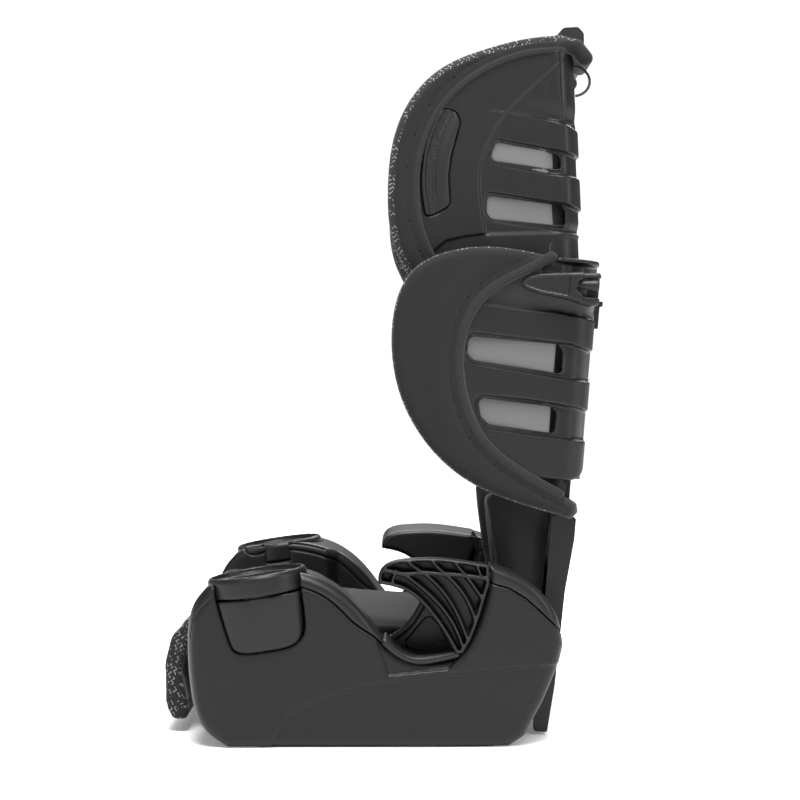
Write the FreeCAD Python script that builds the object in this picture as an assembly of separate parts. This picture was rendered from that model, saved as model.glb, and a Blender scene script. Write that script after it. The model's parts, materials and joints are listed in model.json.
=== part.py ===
"""High-back booster seat: a base with two lift-out cup holders, a backrest that tilts on the base,
and a winged headrest that slides up and down the backrest.

Frame: origin on the floor under the middle of the whole seat, +X to the child's left, -Y to the front,
+Z up.  Millimetres.  The backrest parts are drawn upright in the backrest frame and then leaned back
about the tilt hinge.  The headrest parts are drawn upright in the headrest frame, nodded forward into
the backrest frame, and leaned back with it.
"""
import FreeCAD
import Part
import os
from math import atan2, cos, hypot, pi, radians, sin, tan

V = FreeCAD.Vector
os.makedirs("parts", exist_ok=True)

# ---------------------------------------------------------------- driving dimensions
CENTRE_SHIFT = 3.15         # moves everything along Y so that the whole seat is centred on the origin

WALL = 4.0                  # moulded wall of the backrest and headrest shells
PANEL_WALL = 3.5            # moulded wall of the base panels
GAP = 0.3                   # clearance between separate mouldings

# base
POD_OUT = 200.0             # outer face of the side panels
POD_IN = 138.0              # inner face of the seat well, beside the child
POD_IN_FRONT = 122.0        # inner face of the seat well between the cup holders
POD_STEP_Y = -74.0          # where the seat well widens
DECK_Z = 88.0               # underside of the seat deck
DECK_T = 4.0
FRONT_Y = -187.0
REAR_WALL_Y = 124.0         # rear wall of the seat well, in front of the backrest foot
BOTTOM_T = 3.0
BOTTOM_FRONT_Y = -146.0
BOTTOM_REAR_Y = 108.0
SCREW_R = 4.2               # screw heads under the base
PLATE_SCREWS = [(x, y) for x in (-90, 90) for y in (-110, -10, 90)]
CUSHION_TOP_Z = 130.0
CUSHION_REAR_Y = 86.0
CUSHION_FRONT_Y = -192.0
RAIL_HEIGHT = 12.0          # front rail, measured down from the top of the pod
RECESS = 2.5                # step of the lower part of the side panels
GUIDE_T = 2.6               # lap belt guide on the saddle
ARM_IN = 150.0
ARM_OUT = 204.0
ARM_WALL = 3.2
ARM_RIBS = 6

# cup holders
CUP_X = 168.0
CUP_Y = -126.0
CUP_Z = 159.0               # middle of the rim's top
CUP_TILT = 8.0              # the cup's top leans to the front by this angle
CUP_RIM_R = 47.0
CUP_RIM_H = 18.0
CUP_TOP_R = 40.3
CUP_FOOT_R = 33.0
CUP_DEPTH = 72.0
CUP_WALL = 3.0

# tilt hinge
HINGE_Y = 137.0
HINGE_Z = 62.0
BACK_LEAN = 4.6
PIN_R = 5.0
PIN_CLEAR = 0.06

# backrest
BACK_Y = 168.5              # rear face of the backrest shell
CHANNEL_HALF = 56.5         # half width of the channel that the headrest rail slides in
CHANNEL_FRONT = 150.5       # front face of the channel
CHANNEL_LOW = 252.0
CHANNEL_TOP = 446.0
SPINE_REAR = 173.5          # rear face of the spine cover
SPINE_FLANGE = 10.0         # screw flange at each side of the spine cover
SPINE_SEAT = BACK_Y + 3.3   # rear face of that flange
PAD_T = 12.0                # wing pads
COVER_OUT = 3.0             # thickness of the cover outside a shell
ROLL = 8.0                  # thickness of the cover's rolled edge

# headrest
NOD_Y = 151.0               # the headrest frame turns about this line of the backrest frame
NOD_Z = 459.0
HEAD_NOD = 7.0
HEAD_Y = 151.0              # rear face of the headrest shell, in the headrest frame
RAIL_FRONT = 155.0
RAIL_T = 6.0
RAIL_HALF = 56.0
RAIL_LOW = 253.5
RAIL_TOP = 448.0            # top of the rail's wide foot
NECK_HALF = 26.0            # the neck above it leans forward with the headrest
NECK_FRONT = HEAD_Y + 0.6
NECK_T = 5.4
NECK_LOW = 446.0            # both in the headrest frame
NECK_TOP = 656.0
STRIP_FRONT = 154.9         # release strip and lever stem, in the headrest frame
STRIP_T = 2.1

# height latch
STEP = 25.0                 # pitch of the height positions
STEPS = 6
BOLT_Z = 300.0
BOLT_HALF = 12.0
BOLT_H = 9.0
LEVER_TRAVEL = 6.0
BOLT_TIP = RAIL_FRONT + RAIL_T + 3.1     # rear end of the bolt, just clear of the rack
HUMP_HALF = 42.0            # half width of the adjuster grip

# the left wing seen from above: corners (x, y, radius) of its outer line, from the back to the front
TORSO_PLAN = [(152, BACK_Y, 26), (172, 60, 130), (198, -34, 0)]
HEAD_PLAN = [(120, HEAD_Y, 26), (146, 50, 150), (166, -42, 0)]

# side outlines: points (y, z) of smooth runs
TORSO_EDGE = [(118, 457), (75, 461), (26, 454), (-7, 435), (-24, 362), (-4, 299), (48, 245), (145, 216)]
TORSO_HEM = [(119, 453), (93, 440), (57, 413), (40.5, 372), (48, 317), (68, 279), (101, 252.5), (141, 234)]
HEAD_EDGE = [(151, 668), (112, 667.5), (66, 659), (20, 641), (-18, 596), (-32, 532), (-28, 476), (-14, 444)]
HEAD_HEM = [(151, 649), (109, 646), (65, 629), (26, 607), (4, 564), (0, 515), (12, 476), (26, 446)]
POD_FRONT = [(-120, 166), (-160, 154), (-181, 131), (-187, 100), (-182, 56), (-168, 20), (-149, 0)]
POD_REAR = [(110, 0), (124, 9), (141, 40), (157, 77), (162.3, 93)]
POD_TOP = [(-120, 166), (-92, 163.5), (-60, 153.5), (-22, 120), (4, 90), (30, 80), (60, 85), (76, 106), (90, 150)]
ARM_FIN = [(60, 86), (50, 110), (36, 128.5), (14, 145), (-10, 151.5)]
REAR_ARCH = [(90, 170.5), (109, 164.5), (139, 144.5), (157, 115.5), (162.3, 93)]
ARCH_LINE = [(90, 153), (109, 148), (125, 138.5), (140, 125), (154.5, 111)]
RECESS_LINE = [(166, 80.5), (109, 74.5), (40, 66), (-29, 57), (-75, 42), (-98, 25.5), (-110, -2)]

# windows in the wings: corners (y, z, radius)
TORSO_SLOTS = [
    [(48, 374, 9), (132, 372, 8), (138, 365, 5), (137, 347, 6), (56, 350.5, 8), (48, 360, 8)],
    [(61, 317, 5), (136, 315.5, 7), (140.5, 309, 5), (139, 291, 6), (78, 293.5, 10), (66, 305, 8)]]
HEAD_SLOTS = [
    [(72, 573, 7), (133, 561, 6), (138, 556, 4), (135, 542, 5), (66, 553, 6), (64, 560, 6)],
    [(61, 522, 7), (133, 508, 6), (137.5, 503, 4), (135.5, 489, 5), (66, 499.5, 8), (59, 507, 7)]]


# ---------------------------------------------------------------- drawing helpers
def side(a, b):
    return V(0, a, b)


def plan(a, b):
    return V(a, b, 0)


def rounded_wire(corners, place):
    """Closed wire through corners (a, b, radius), each rounded by a tangent arc."""
    starts = []
    for i, (a, b, radius) in enumerate(corners):
        before = corners[i - 1]
        after = corners[(i + 1) % len(corners)]
        to_before = (before[0] - a, before[1] - b)
        to_after = (after[0] - a, after[1] - b)
        len_before = hypot(*to_before)
        len_after = hypot(*to_after)
        u = (to_before[0] / len_before, to_before[1] / len_before)
        w = (to_after[0] / len_after, to_after[1] / len_after)
        turn = atan2(abs(u[0] * w[1] - u[1] * w[0]), u[0] * w[0] + u[1] * w[1])
        if radius <= 0 or turn > pi - 1e-4:
            starts.append(((a, b), None, (a, b)))
            continue
        reach = radius / tan(turn / 2)
        middle = radius / sin(turn / 2) - radius
        half = (u[0] + w[0], u[1] + w[1])
        size = hypot(*half)
        starts.append(((a + u[0] * reach, b + u[1] * reach),
                       (a + half[0] / size * middle, b + half[1] / size * middle),
                       (a + w[0] * reach, b + w[1] * reach)))
    edges = []
    for i, (start, mid, end) in enumerate(starts):
        if mid:
            edges.append(Part.Arc(place(*start), place(*mid), place(*end)).toShape())
        following = starts[(i + 1) % len(starts)][0]
        if hypot(following[0] - end[0], following[1] - end[1]) > 1e-6:
            edges.append(Part.makeLine(place(*end), place(*following)))
    return Part.Wire(edges)


def smooth_wire(runs):
    """Closed side outline of runs: two points make a straight line, more make a smooth curve."""
    edges = []
    for run in runs:
        points = [side(*point) for point in run]
        if len(points) == 2:
            edges.append(Part.makeLine(*points))
        else:
            curve = Part.BSplineCurve()
            curve.interpolate(points)
            edges.append(curve.toShape())
    return Part.Wire(edges)


def joined(run, corners):
    """Runs that close a smooth run with straight lines through the corners."""
    points = [run[-1]] + corners + [run[0]]
    return [run] + [[points[i], points[i + 1]] for i in range(len(points) - 1)]


def shifted(run, distance):
    """A smooth run moved sideways: positive is to the left of its direction."""
    moved = []
    for i, (a, b) in enumerate(run):
        before = run[max(i - 1, 0)]
        after = run[min(i + 1, len(run) - 1)]
        size = hypot(after[0] - before[0], after[1] - before[1])
        along = ((after[0] - before[0]) / size, (after[1] - before[1]) / size)
        moved.append((a - along[1] * distance, b + along[0] * distance))
    return moved


def across(wire, low, high):
    """Solid of a side outline, from x = low to x = high."""
    face = Part.Face(wire)
    face.translate(V(low, 0, 0))
    return face.extrude(V(high - low, 0, 0))


def upright(wire, low, high):
    """Solid of a plan outline, from z = low to z = high."""
    face = Part.Face(wire)
    face.translate(V(0, 0, low))
    return face.extrude(V(0, 0, high - low))


def side_block(corners, low, high):
    return across(rounded_wire(corners, side), low, high)


def plan_block(corners, low, high):
    return upright(rounded_wire(corners, plan), low, high)


def box(x0, x1, y0, y1, z0, z1):
    return Part.makeBox(x1 - x0, y1 - y0, z1 - z0, V(x0, y0, z0))


def rod(start, end, radius):
    """Round bar between two points."""
    return Part.makeCylinder(radius, (end - start).Length, start, end - start)


def mirrored(shape):
    return shape.mirror(V(0, 0, 0), V(1, 0, 0))


def offset_path(path, distance):
    """Open path of (x, y, radius) corners moved to its left by distance."""
    normals = []
    for first, second in zip(path, path[1:]):
        size = hypot(second[0] - first[0], second[1] - first[1])
        normals.append((-(second[1] - first[1]) / size, (second[0] - first[0]) / size))
    moved = []
    for i, (x, y, radius) in enumerate(path):
        n1 = normals[max(i - 1, 0)]
        n2 = normals[min(i, len(normals) - 1)]
        scale = distance / (1 + n1[0] * n2[0] + n1[1] * n2[1])
        bend = n1[0] * n2[1] - n1[1] * n2[0]
        grown = max(radius - distance * (1 if bend > 0 else -1), 1.0) if radius else 0
        moved.append((x + (n1[0] + n2[0]) * scale, y + (n1[1] + n2[1]) * scale, grown))
    return moved


def wing_band(half, outer, inner, low, high):
    """U-shaped wall between two offsets of the wings' outer line; outwards is positive."""
    path = [(-x, y, r) for x, y, r in reversed(half)] + list(half)
    outside = offset_path(path, outer)
    inside = offset_path(path, inner)
    return upright(rounded_wire(outside + list(reversed(inside)), plan), low, high)


def leaned(shape):
    """From the backrest frame to the seat's own frame."""
    moved = shape.copy()
    moved.rotate(V(0, HINGE_Y, HINGE_Z), V(1, 0, 0), -BACK_LEAN)
    return moved


def nod_only(shape):
    """From the headrest frame to the backrest frame."""
    moved = shape.copy()
    moved.rotate(V(0, NOD_Y, NOD_Z), V(1, 0, 0), HEAD_NOD)
    return moved


def nodded(shape):
    """From the headrest frame to the seat's own frame."""
    return leaned(nod_only(shape))


def save(name, shape):
    placed = shape.copy()
    placed.translate(V(0, CENTRE_SHIFT, 0))
    placed = placed.removeSplitter() if placed.ShapeType == "Solid" else placed
    solids = placed.Solids
    placed = solids[0] if len(solids) == 1 else Part.makeCompound(solids)
    placed.exportStep("parts/" + name + ".step")
    bounds = placed.BoundBox
    print("%-24s solids %d  valid %s  volume %8.1f cm3  x %.1f..%.1f  y %.1f..%.1f  z %.1f..%.1f" % (
        name, len(solids), placed.isValid(), placed.Volume / 1000, bounds.XMin, bounds.XMax,
        bounds.YMin, bounds.YMax, bounds.ZMin, bounds.ZMax))


def save_pair(name, shape):
    save(name + "_left", shape)
    save(name + "_right", mirrored(shape))


# ---------------------------------------------------------------- base
def pod_runs():
    """Side outline of a pod: front, foot, rear and the top with the belt saddle."""
    return [POD_FRONT, [POD_FRONT[-1], POD_REAR[0]], POD_REAR, list(reversed(REAR_ARCH)),
            [REAR_ARCH[0], POD_TOP[-1]], list(reversed(POD_TOP))]


def pod_inner_runs(inset):
    """The pod's outline moved inwards on every edge but the bottom, which it passes."""
    front_run = shifted(POD_FRONT, inset)
    rear = shifted(POD_REAR, inset)
    arch = shifted(list(reversed(REAR_ARCH)), inset)
    top = shifted(list(reversed(POD_TOP)), inset)
    front_run[0] = top[-1]
    arch[0] = rear[-1]
    arch[-1] = (90 - 2 * inset, 170.5 - inset)
    return [front_run, [front_run[-1], (front_run[-1][0], -5)], [(front_run[-1][0], -5), (rear[0][0], -5)],
            [(rear[0][0], -5), rear[0]], rear, arch, [arch[-1], top[0]], top]


def pod_plan(inset):
    """Corners of a pod seen from above; inset moves its outer sides inwards."""
    return [(POD_IN_FRONT + PANEL_WALL + GAP, FRONT_Y - 5 + inset, 0),
            (POD_OUT - inset, FRONT_Y - 5 + inset, 34 - inset),
            (POD_OUT - inset, 60, 400), (POD_OUT - 8 - inset, 168 - inset, 22 - inset),
            (POD_IN + PANEL_WALL + GAP, 168 - inset, 0), (POD_IN + PANEL_WALL + GAP, POD_STEP_Y + 12, 0),
            (POD_IN_FRONT + PANEL_WALL + GAP, POD_STEP_Y, 0)]


def pod_shell():
    """Outer walls of a pod: side, top, front and rear, open towards the seat and at the bottom."""
    outer = plan_block(pod_plan(0), BOTTOM_T + GAP, 200).common(across(smooth_wire(pod_runs()), 100, 230))
    inner = plan_block(pod_plan(PANEL_WALL), -10, 200)
    inner = inner.fuse(plan_block([(100, FRONT_Y + 2, 0), (POD_OUT - 30, FRONT_Y + 2, 0),
                                   (POD_OUT - 30, 150, 0), (100, 150, 0)], -10, 200))
    return outer.cut(inner.common(across(smooth_wire(pod_inner_runs(PANEL_WALL)), 90, 230)))


def cup_axis():
    return V(0, -sin(radians(CUP_TILT)), cos(radians(CUP_TILT)))


def turned_on_cup(profile):
    """Solid of revolution about the left cup's axis: profile points are (radius, height from the rim)."""
    points = [V(r, 0, z) for r, z in profile]
    face = Part.Face(Part.makePolygon(points + points[:1]))
    solid = face.revolve(V(0, 0, 0), V(0, 0, 1), 360)
    solid.rotate(V(0, 0, 0), V(1, 0, 0), CUP_TILT)
    solid.translate(V(CUP_X, CUP_Y, CUP_Z))
    return solid


def cup_holder():
    foot = -CUP_DEPTH
    slope = (CUP_TOP_R - CUP_FOOT_R) / (CUP_DEPTH - CUP_RIM_H)
    profile = [(0, foot), (CUP_FOOT_R - 7, foot), (CUP_FOOT_R - 2, foot + 2), (CUP_FOOT_R, foot + 7),
               (CUP_TOP_R - 1, -CUP_RIM_H - 2), (CUP_RIM_R - 4, -CUP_RIM_H), (CUP_RIM_R - 1.5, -CUP_RIM_H + 2),
               (CUP_RIM_R, -4), (CUP_RIM_R - 2, -1), (CUP_RIM_R - 5, 0), (CUP_TOP_R, -1.5),
               (CUP_TOP_R - CUP_WALL, -CUP_RIM_H), (CUP_FOOT_R - CUP_WALL + slope * 4, foot + 8),
               (CUP_FOOT_R - 9, foot + CUP_WALL), (0, foot + CUP_WALL)]
    return turned_on_cup(profile)


def cup_room():
    """Space that a cup leaves in the pod when it lifts out along its axis."""
    clear = 0.8
    return turned_on_cup([(0, -CUP_DEPTH - clear), (CUP_FOOT_R + clear, -CUP_DEPTH - clear),
                          (CUP_TOP_R + clear, -CUP_RIM_H - 2), (CUP_RIM_R + clear, -CUP_RIM_H - clear),
                          (CUP_RIM_R + clear, 60), (0, 60)])


def above(run, distance):
    """Everything above a run's line moved down by distance, over the run's own length."""
    line = shifted(run, -distance)
    return across(smooth_wire(joined(line, [(line[-1][0], 260), (line[0][0], 260)])), 90, 230)


def rail_zone():
    """Zone of the front rail: the pod's top from behind the cup holder to the saddle."""
    run = [(-120, 166), (-92, 163.5), (-60, 153.5), (-22, 120), (-2, 95.5)]
    return above(run, RAIL_HEIGHT)


def arch_zone():
    """Zone of the rear arch, which is one moulding with the armrest."""
    return across(smooth_wire(joined(ARCH_LINE, [(190, 120), (190, 200), (90, 200)])), 90, 230)


def saddle_zone(depth):
    return above([(-2, 96), (4, 90), (30, 80), (60, 85), (70, 97)], depth)


def side_panel():
    shell = pod_shell().cut(rail_zone()).cut(arch_zone()).cut(saddle_zone(GUIDE_T + GAP)).cut(cup_room())
    step = across(smooth_wire(joined(RECESS_LINE, [(200, -2)])), POD_OUT - RECESS, 230)
    panel = shell.cut(step.cut(plan_block(pod_plan(RECESS), -10, 200)))
    panel = panel.cut(fin_block(GAP))
    return max(panel.Solids, key=lambda solid: solid.Volume)


def front_rail():
    rail = pod_shell().common(rail_zone()).cut(cup_room())
    rail = max(rail.Solids, key=lambda solid: solid.Volume)
    return rail.cut(box(0, 300, -3, 100, 0, 300))


def fin_block(grow):
    """Outline of the armrest's ribbed fin, from its tip to the panel line."""
    tip = [(-10, 151.5 - grow), (-12 - grow, 157), (-8 - grow, 168), (8, 176.5 + grow)]
    crown = [(8, 176.5 + grow), (40, 177 + grow), (66, 174.5 + grow), (90 + grow, 170.5 + grow)]
    line = [(90 + grow, 170.5 + grow), (89 + grow, 150), (82 + grow, 124), (72 + grow, 100), (60, 86 - grow)]
    below = [line[-1]] + shifted(ARM_FIN, grow)[1:-1] + [tip[0]]
    return across(smooth_wire([tip, crown, line, below]), ARM_IN - grow, ARM_OUT + grow)


def armrest():
    """Fin with a smooth inner face and an open outer side that shows its ribs, and the rear arch."""
    fin = fin_block(0)
    hollow = fin_block(-ARM_WALL)
    hollow.translate(V(2 * ARM_WALL, 0, 0))
    ribs = []
    for i in range(ARM_RIBS):
        shift = 16 * i
        run = [(-22 + shift, 172), (-4 + shift, 154), (12 + 0.86 * shift, 132), (24 + 0.6 * shift, 104),
               (34 + 0.4 * shift, 76)]
        other = shifted(run, 2.4)
        ribs.append(across(smooth_wire([run, [run[-1], other[-1]], list(reversed(other)), [other[0], run[0]]]),
                           ARM_IN, ARM_OUT - 2.5))
    shelf_low = [(-20, 160), (20, 163.5), (60, 161), (100, 156)]
    shelf_high = shifted(shelf_low, 2.4)
    shelf = across(smooth_wire([shelf_low, [shelf_low[-1], shelf_high[-1]], list(reversed(shelf_high)),
                                [shelf_high[0], shelf_low[0]]]), ARM_IN, ARM_OUT - 2.5)
    webs = ribs[0]
    for rib in ribs[1:] + [shelf]:
        webs = webs.fuse(rib)
    body = fin.cut(hollow).fuse(webs.common(fin))
    arch = pod_shell().common(arch_zone()).cut(box(0, 300, 0, 91, 0, 300))
    link = box(ARM_IN, POD_OUT - 1, 86, 96, 158, 169.5)
    whole = body.fuse(arch).fuse(link)
    return max(whole.Solids, key=lambda solid: solid.Volume)


def lap_belt_guide():
    """Saddle piece that the lap belt lies in, with a raised lip on its outer edge."""
    run = [(-2, 96), (4, 90), (30, 80), (56, 83.5)]
    low = shifted(run, -GUIDE_T)
    sheet = across(smooth_wire([run, [run[-1], low[-1]], list(reversed(low)), [low[0], run[0]]]),
                   POD_IN + 5, POD_OUT + 1.5)
    lip_low = shifted(run, -9)
    lip = across(smooth_wire([run, [run[-1], lip_low[-1]], list(reversed(lip_low)), [lip_low[0], run[0]]]),
                 POD_OUT + GAP, POD_OUT + 3.5)
    return sheet.fuse(lip)


def base_shell():
    """Seat pan: deck, well walls, front and rear walls, ribs and hinge bosses."""
    well = [(POD_IN_FRONT, FRONT_Y + 2, 0), (POD_IN_FRONT + PANEL_WALL, FRONT_Y + 2, 0),
            (POD_IN_FRONT + PANEL_WALL, POD_STEP_Y, 0), (POD_IN + PANEL_WALL, POD_STEP_Y + 12, 0),
            (POD_IN + PANEL_WALL, 160, 0), (POD_IN, 160, 0), (POD_IN, POD_STEP_Y + 12, 0),
            (POD_IN_FRONT, POD_STEP_Y, 0)]
    wall = plan_block(well, BOTTOM_T, 200).common(across(smooth_wire(pod_inner_runs(PANEL_WALL + GAP)), 90, 230))
    boss = rod(V(POD_IN, HINGE_Y, HINGE_Z), V(POD_IN + 18, HINGE_Y, HINGE_Z), PIN_R + 2)
    wall = wall.cut(cup_room()).fuse(boss).cut(rod(V(120, HINGE_Y, HINGE_Z), V(152, HINGE_Y, HINGE_Z), PIN_R))
    deck = plan_block([(-POD_IN, REAR_WALL_Y, 0), (-POD_IN, POD_STEP_Y + 12, 0), (-POD_IN_FRONT, POD_STEP_Y, 0),
                       (-POD_IN_FRONT, FRONT_Y + 4, 0), (POD_IN_FRONT, FRONT_Y + 4, 0),
                       (POD_IN_FRONT, POD_STEP_Y, 0), (POD_IN, POD_STEP_Y + 12, 0), (POD_IN, REAR_WALL_Y, 0)],
                      DECK_Z, DECK_Z + DECK_T)
    front_wall = side_block([(-183, 92, 0), (-183, 56, 40), (-147, BOTTOM_T, 0), (-143, BOTTOM_T, 0),
                             (-179, 57, 40), (-179, 92, 0)], -POD_IN_FRONT, POD_IN_FRONT)
    rear_wall = box(-POD_IN, POD_IN, REAR_WALL_Y - 4, REAR_WALL_Y, BOTTOM_T, DECK_Z + DECK_T)
    shell = deck.fuse([wall, mirrored(wall), front_wall, rear_wall])
    for x in (-90, -45, 0, 45, 90):
        rib = side_block([(-181, 90, 0), (-181, 56, 40), (-146, BOTTOM_T, 0), (REAR_WALL_Y - 2, BOTTOM_T, 0),
                          (REAR_WALL_Y - 2, 90, 0)], x - 1.5, x + 1.5)
        shell = shell.fuse(rib)
    return shell


def bottom_plate():
    half = POD_OUT - 6
    plate = plan_block([(-half, BOTTOM_FRONT_Y, 30), (half, BOTTOM_FRONT_Y, 30), (half - 4, BOTTOM_REAR_Y, 22),
                        (-half + 4, BOTTOM_REAR_Y, 22)], 0, BOTTOM_T)
    for x, y in PLATE_SCREWS:
        plate = plate.cut(rod(V(x, y, -1), V(x, y, BOTTOM_T + 1), SCREW_R + 0.2))
    return plate


def seat_cushion():
    side_view = [(CUSHION_FRONT_Y, DECK_Z + DECK_T + GAP, 0), (CUSHION_FRONT_Y, 104, 18),
                 (CUSHION_FRONT_Y + 24, CUSHION_TOP_Z, 30), (CUSHION_REAR_Y, CUSHION_TOP_Z - 1, 12),
                 (CUSHION_REAR_Y, DECK_Z + DECK_T + GAP, 0)]
    half = POD_IN - 2
    narrow = POD_IN_FRONT - 2
    footprint = [(-half, 100, 0), (-half, POD_STEP_Y + 15, 16), (-narrow, POD_STEP_Y + 1, 4),
                 (-narrow, -210, 0), (narrow, -210, 0), (narrow, POD_STEP_Y + 1, 4),
                 (half, POD_STEP_Y + 15, 16), (half, 100, 0)]
    return side_block(side_view, -half, half).common(plan_block(footprint, 80, 140))


def seat_flap():
    """Front of the seat cover, which hangs down in front of the base."""
    side_view = [(-192.4, 90, 0), (-192.4, 103, 3), (-210, 98, 12), (-223, 62, 60), (-219, 15, 5),
                 (-207, 18, 4), (-207, 60, 25), (-200, 88, 8)]
    return side_block(side_view, -POD_IN_FRONT + 4, POD_IN_FRONT - 4)


def pivot_pins():
    pin = rod(V(120, HINGE_Y, HINGE_Z), V(150, HINGE_Y, HINGE_Z), PIN_R)
    head = rod(V(117, HINGE_Y, HINGE_Z), V(120, HINGE_Y, HINGE_Z), PIN_R + 2.5)
    pin = pin.fuse(head)
    return Part.makeCompound([pin, mirrored(pin)])


def plate_screws():
    """Screws that hold the bottom plate to the seat pan's ribs."""
    return [rod(V(x, y, 0.6), V(x, y, BOTTOM_T), SCREW_R) for x, y in PLATE_SCREWS]


# ---------------------------------------------------------------- backrest
def torso_region(inset):
    """Side region of the torso shell; inset moves its front and lower edge inwards."""
    run = shifted(TORSO_EDGE, inset)
    return across(smooth_wire(joined(run, [(run[-1][0], 226), (151, 246), (190, 247), (190, 453.5),
                                           (150, 454.5)])), -230, 230)


def torso_shell():
    """Winged shell: its middle is a channel, open to the rear, for the headrest rail."""
    shell = wing_band(TORSO_PLAN, 0, -WALL, 200, 470).common(torso_region(ROLL))
    outer = CHANNEL_HALF + WALL
    shell = shell.cut(box(-CHANNEL_HALF, CHANNEL_HALF, 140, 190, CHANNEL_LOW, 480))
    shell = shell.cut(box(-outer - 12, outer + 12, 140, 190, CHANNEL_TOP, 480))
    channel = box(-outer, outer, CHANNEL_FRONT, BACK_Y, CHANNEL_LOW - WALL, CHANNEL_TOP)
    channel = channel.cut(box(-CHANNEL_HALF, CHANNEL_HALF, CHANNEL_FRONT + WALL, 190, CHANNEL_LOW, 480))
    channel = channel.cut(box(-BOLT_HALF - 2, BOLT_HALF + 2, 140, 190, BOLT_Z - 12,
                              BOLT_Z + STEP * (STEPS - 1) + 12))
    shell = shell.fuse(channel)
    for corners in TORSO_SLOTS:
        slot = side_block(corners, 150, 230)
        shell = shell.cut(slot).cut(mirrored(slot))
    return shell


def wing_pad():
    """Foam lining of a torso wing."""
    band = wing_band(TORSO_PLAN, -WALL - GAP, -WALL - PAD_T, 200, 470)
    return band.common(torso_region(ROLL + 1)).common(box(100, 230, -60, 130, 200, 470))


def torso_cover():
    """Cover over the front and lower edge of a torso wing, rolled over its rim."""
    whole = wing_band(TORSO_PLAN, COVER_OUT, -WALL - PAD_T - 1, 190, 480)
    whole = whole.common(across(smooth_wire(joined(TORSO_EDGE, [(158, 213.5), (166, 220), (166, 400)])), 0, 230))
    inside = wing_band(TORSO_PLAN, 0.2, -WALL - PAD_T - 6, 180, 490).common(torso_region(ROLL - 0.6))
    tail = box(0, 152, 100, 200, 190, 260)
    opening = across(smooth_wire(joined(TORSO_HEM, [(158, 229), (230, 232), (230, 500), (119, 500)])), 0, 230)
    cover = whole.cut(inside).cut(opening).cut(tail).cut(box(0, 230, 118, 300, 300, 500))
    return max(cover.Solids, key=lambda solid: solid.Volume)


def torso_back_pad():
    """Padding in front of the channel, reaching back on both sides of it."""
    inner = CHANNEL_HALF + WALL + GAP
    front = CHANNEL_FRONT - 0.4
    rear = BACK_Y - WALL - GAP
    slab = plan_block([(-132, rear, 3), (-138, 128, 12), (-60, 136, 80), (60, 136, 80), (138, 128, 12),
                       (132, rear, 3), (inner, rear, 2), (inner, front, 0), (-inner, front, 0),
                       (-inner, rear, 2)], 232, 430)
    return slab.common(side_block([(100, 232, 0), (front, 232, 6), (front, 250, 0),
                                   (rear, 250, 0), (rear, 430, 6), (128, 430, 10),
                                   (100, 410, 0)], -150, 150))


def lower_back_shell():
    """Lower half of the backrest: a back plate between two deep side plates that end in hinge ears."""
    plate = side_block([(154.6, 248, 0), (154.6, 212, 0), (152, 110, 0), (150, 4, 0), (154, 4, 0),
                        (156, 110, 0), (158.7, 212, 0), (158.7, 248, 0)], -120, 120)
    wide = side_block([(154.6, 211, 0), (152, 110, 0), (150, 4, 0), (154, 4, 0), (156, 110, 0), (158.6, 211, 0)],
                      -133, 133)
    cheek = side_block([(142, 211, 4), (142, 88, 30), (129, 74, 8), (127, 52, 10), (139, 34, 20), (141, 3.5, 3),
                        (154, 3.5, 3), (158, 50, 60), (160.5, 140, 60), (165.5, 190, 40), (165.5, 211, 3)],
                       126, 133)
    boss = rod(V(121.5, HINGE_Y, HINGE_Z), V(127, HINGE_Y, HINGE_Z), PIN_R + 4.5)
    cheek = cheek.fuse(boss)
    ribs = side_block([(153, 210, 0), (151, 100, 0), (149, 6, 0), (154, 6, 0), (158, 50, 0), (160.5, 140, 0),
                       (165, 190, 0), (165, 210, 0)], 44, 48)
    shell = leaned(plate.fuse([wide, cheek, mirrored(cheek), ribs, mirrored(ribs)]))
    return shell.cut(rod(V(-140, HINGE_Y, HINGE_Z), V(140, HINGE_Y, HINGE_Z), PIN_R + PIN_CLEAR))


def lower_back_pad():
    """Padding of the lower back, with a bolster at each side."""
    slab = plan_block([(-124, 141, 4), (-133, 124, 6), (-133, 70, 16), (-96, 70, 16), (-84, 116, 20),
                       (84, 116, 20), (96, 70, 16), (133, 70, 16), (133, 124, 6), (124, 141, 4)], 60, 240)
    return slab.common(side_block([(108, 96, 12), (101, 120, 30), (92, 165, 60), (76, 227, 6), (141, 231, 4),
                                   (141, 96, 4)], -150, 150))


def back_spine():
    """Cover behind the channel, which carries the height rack and the cover hook."""
    outer = CHANNEL_HALF + 6
    low = CHANNEL_LOW - 8
    high = CHANNEL_TOP - 4
    cover = plan_block([(-outer, BACK_Y + GAP, 0), (outer, BACK_Y + GAP, 0), (outer, SPINE_REAR, 9),
                        (-outer, SPINE_REAR, 9)], low, high)
    flange = outer + SPINE_FLANGE
    cover = cover.fuse(box(-flange, flange, BACK_Y + GAP, SPINE_SEAT, low, high))
    cover = cover.cut(box(-CHANNEL_HALF, CHANNEL_HALF, 150, SPINE_REAR - WALL, low + WALL, 480))
    return cover


def height_rack():
    """Toothed plate that the latch bolt drops into, one pocket for each height."""
    rack = box(-BOLT_HALF - 8, BOLT_HALF + 8, BOLT_TIP + 0.4, SPINE_REAR - WALL - 0.1, BOLT_Z - 20,
               BOLT_Z + STEP * (STEPS - 1) + 16)
    for i in range(STEPS):
        z = BOLT_Z + STEP * i
        rack = rack.cut(box(-BOLT_HALF - 1, BOLT_HALF + 1, 150, BOLT_TIP + 6, z - BOLT_H / 2 - 1,
                            z + BOLT_H / 2 + 1))
    return rack


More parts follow.
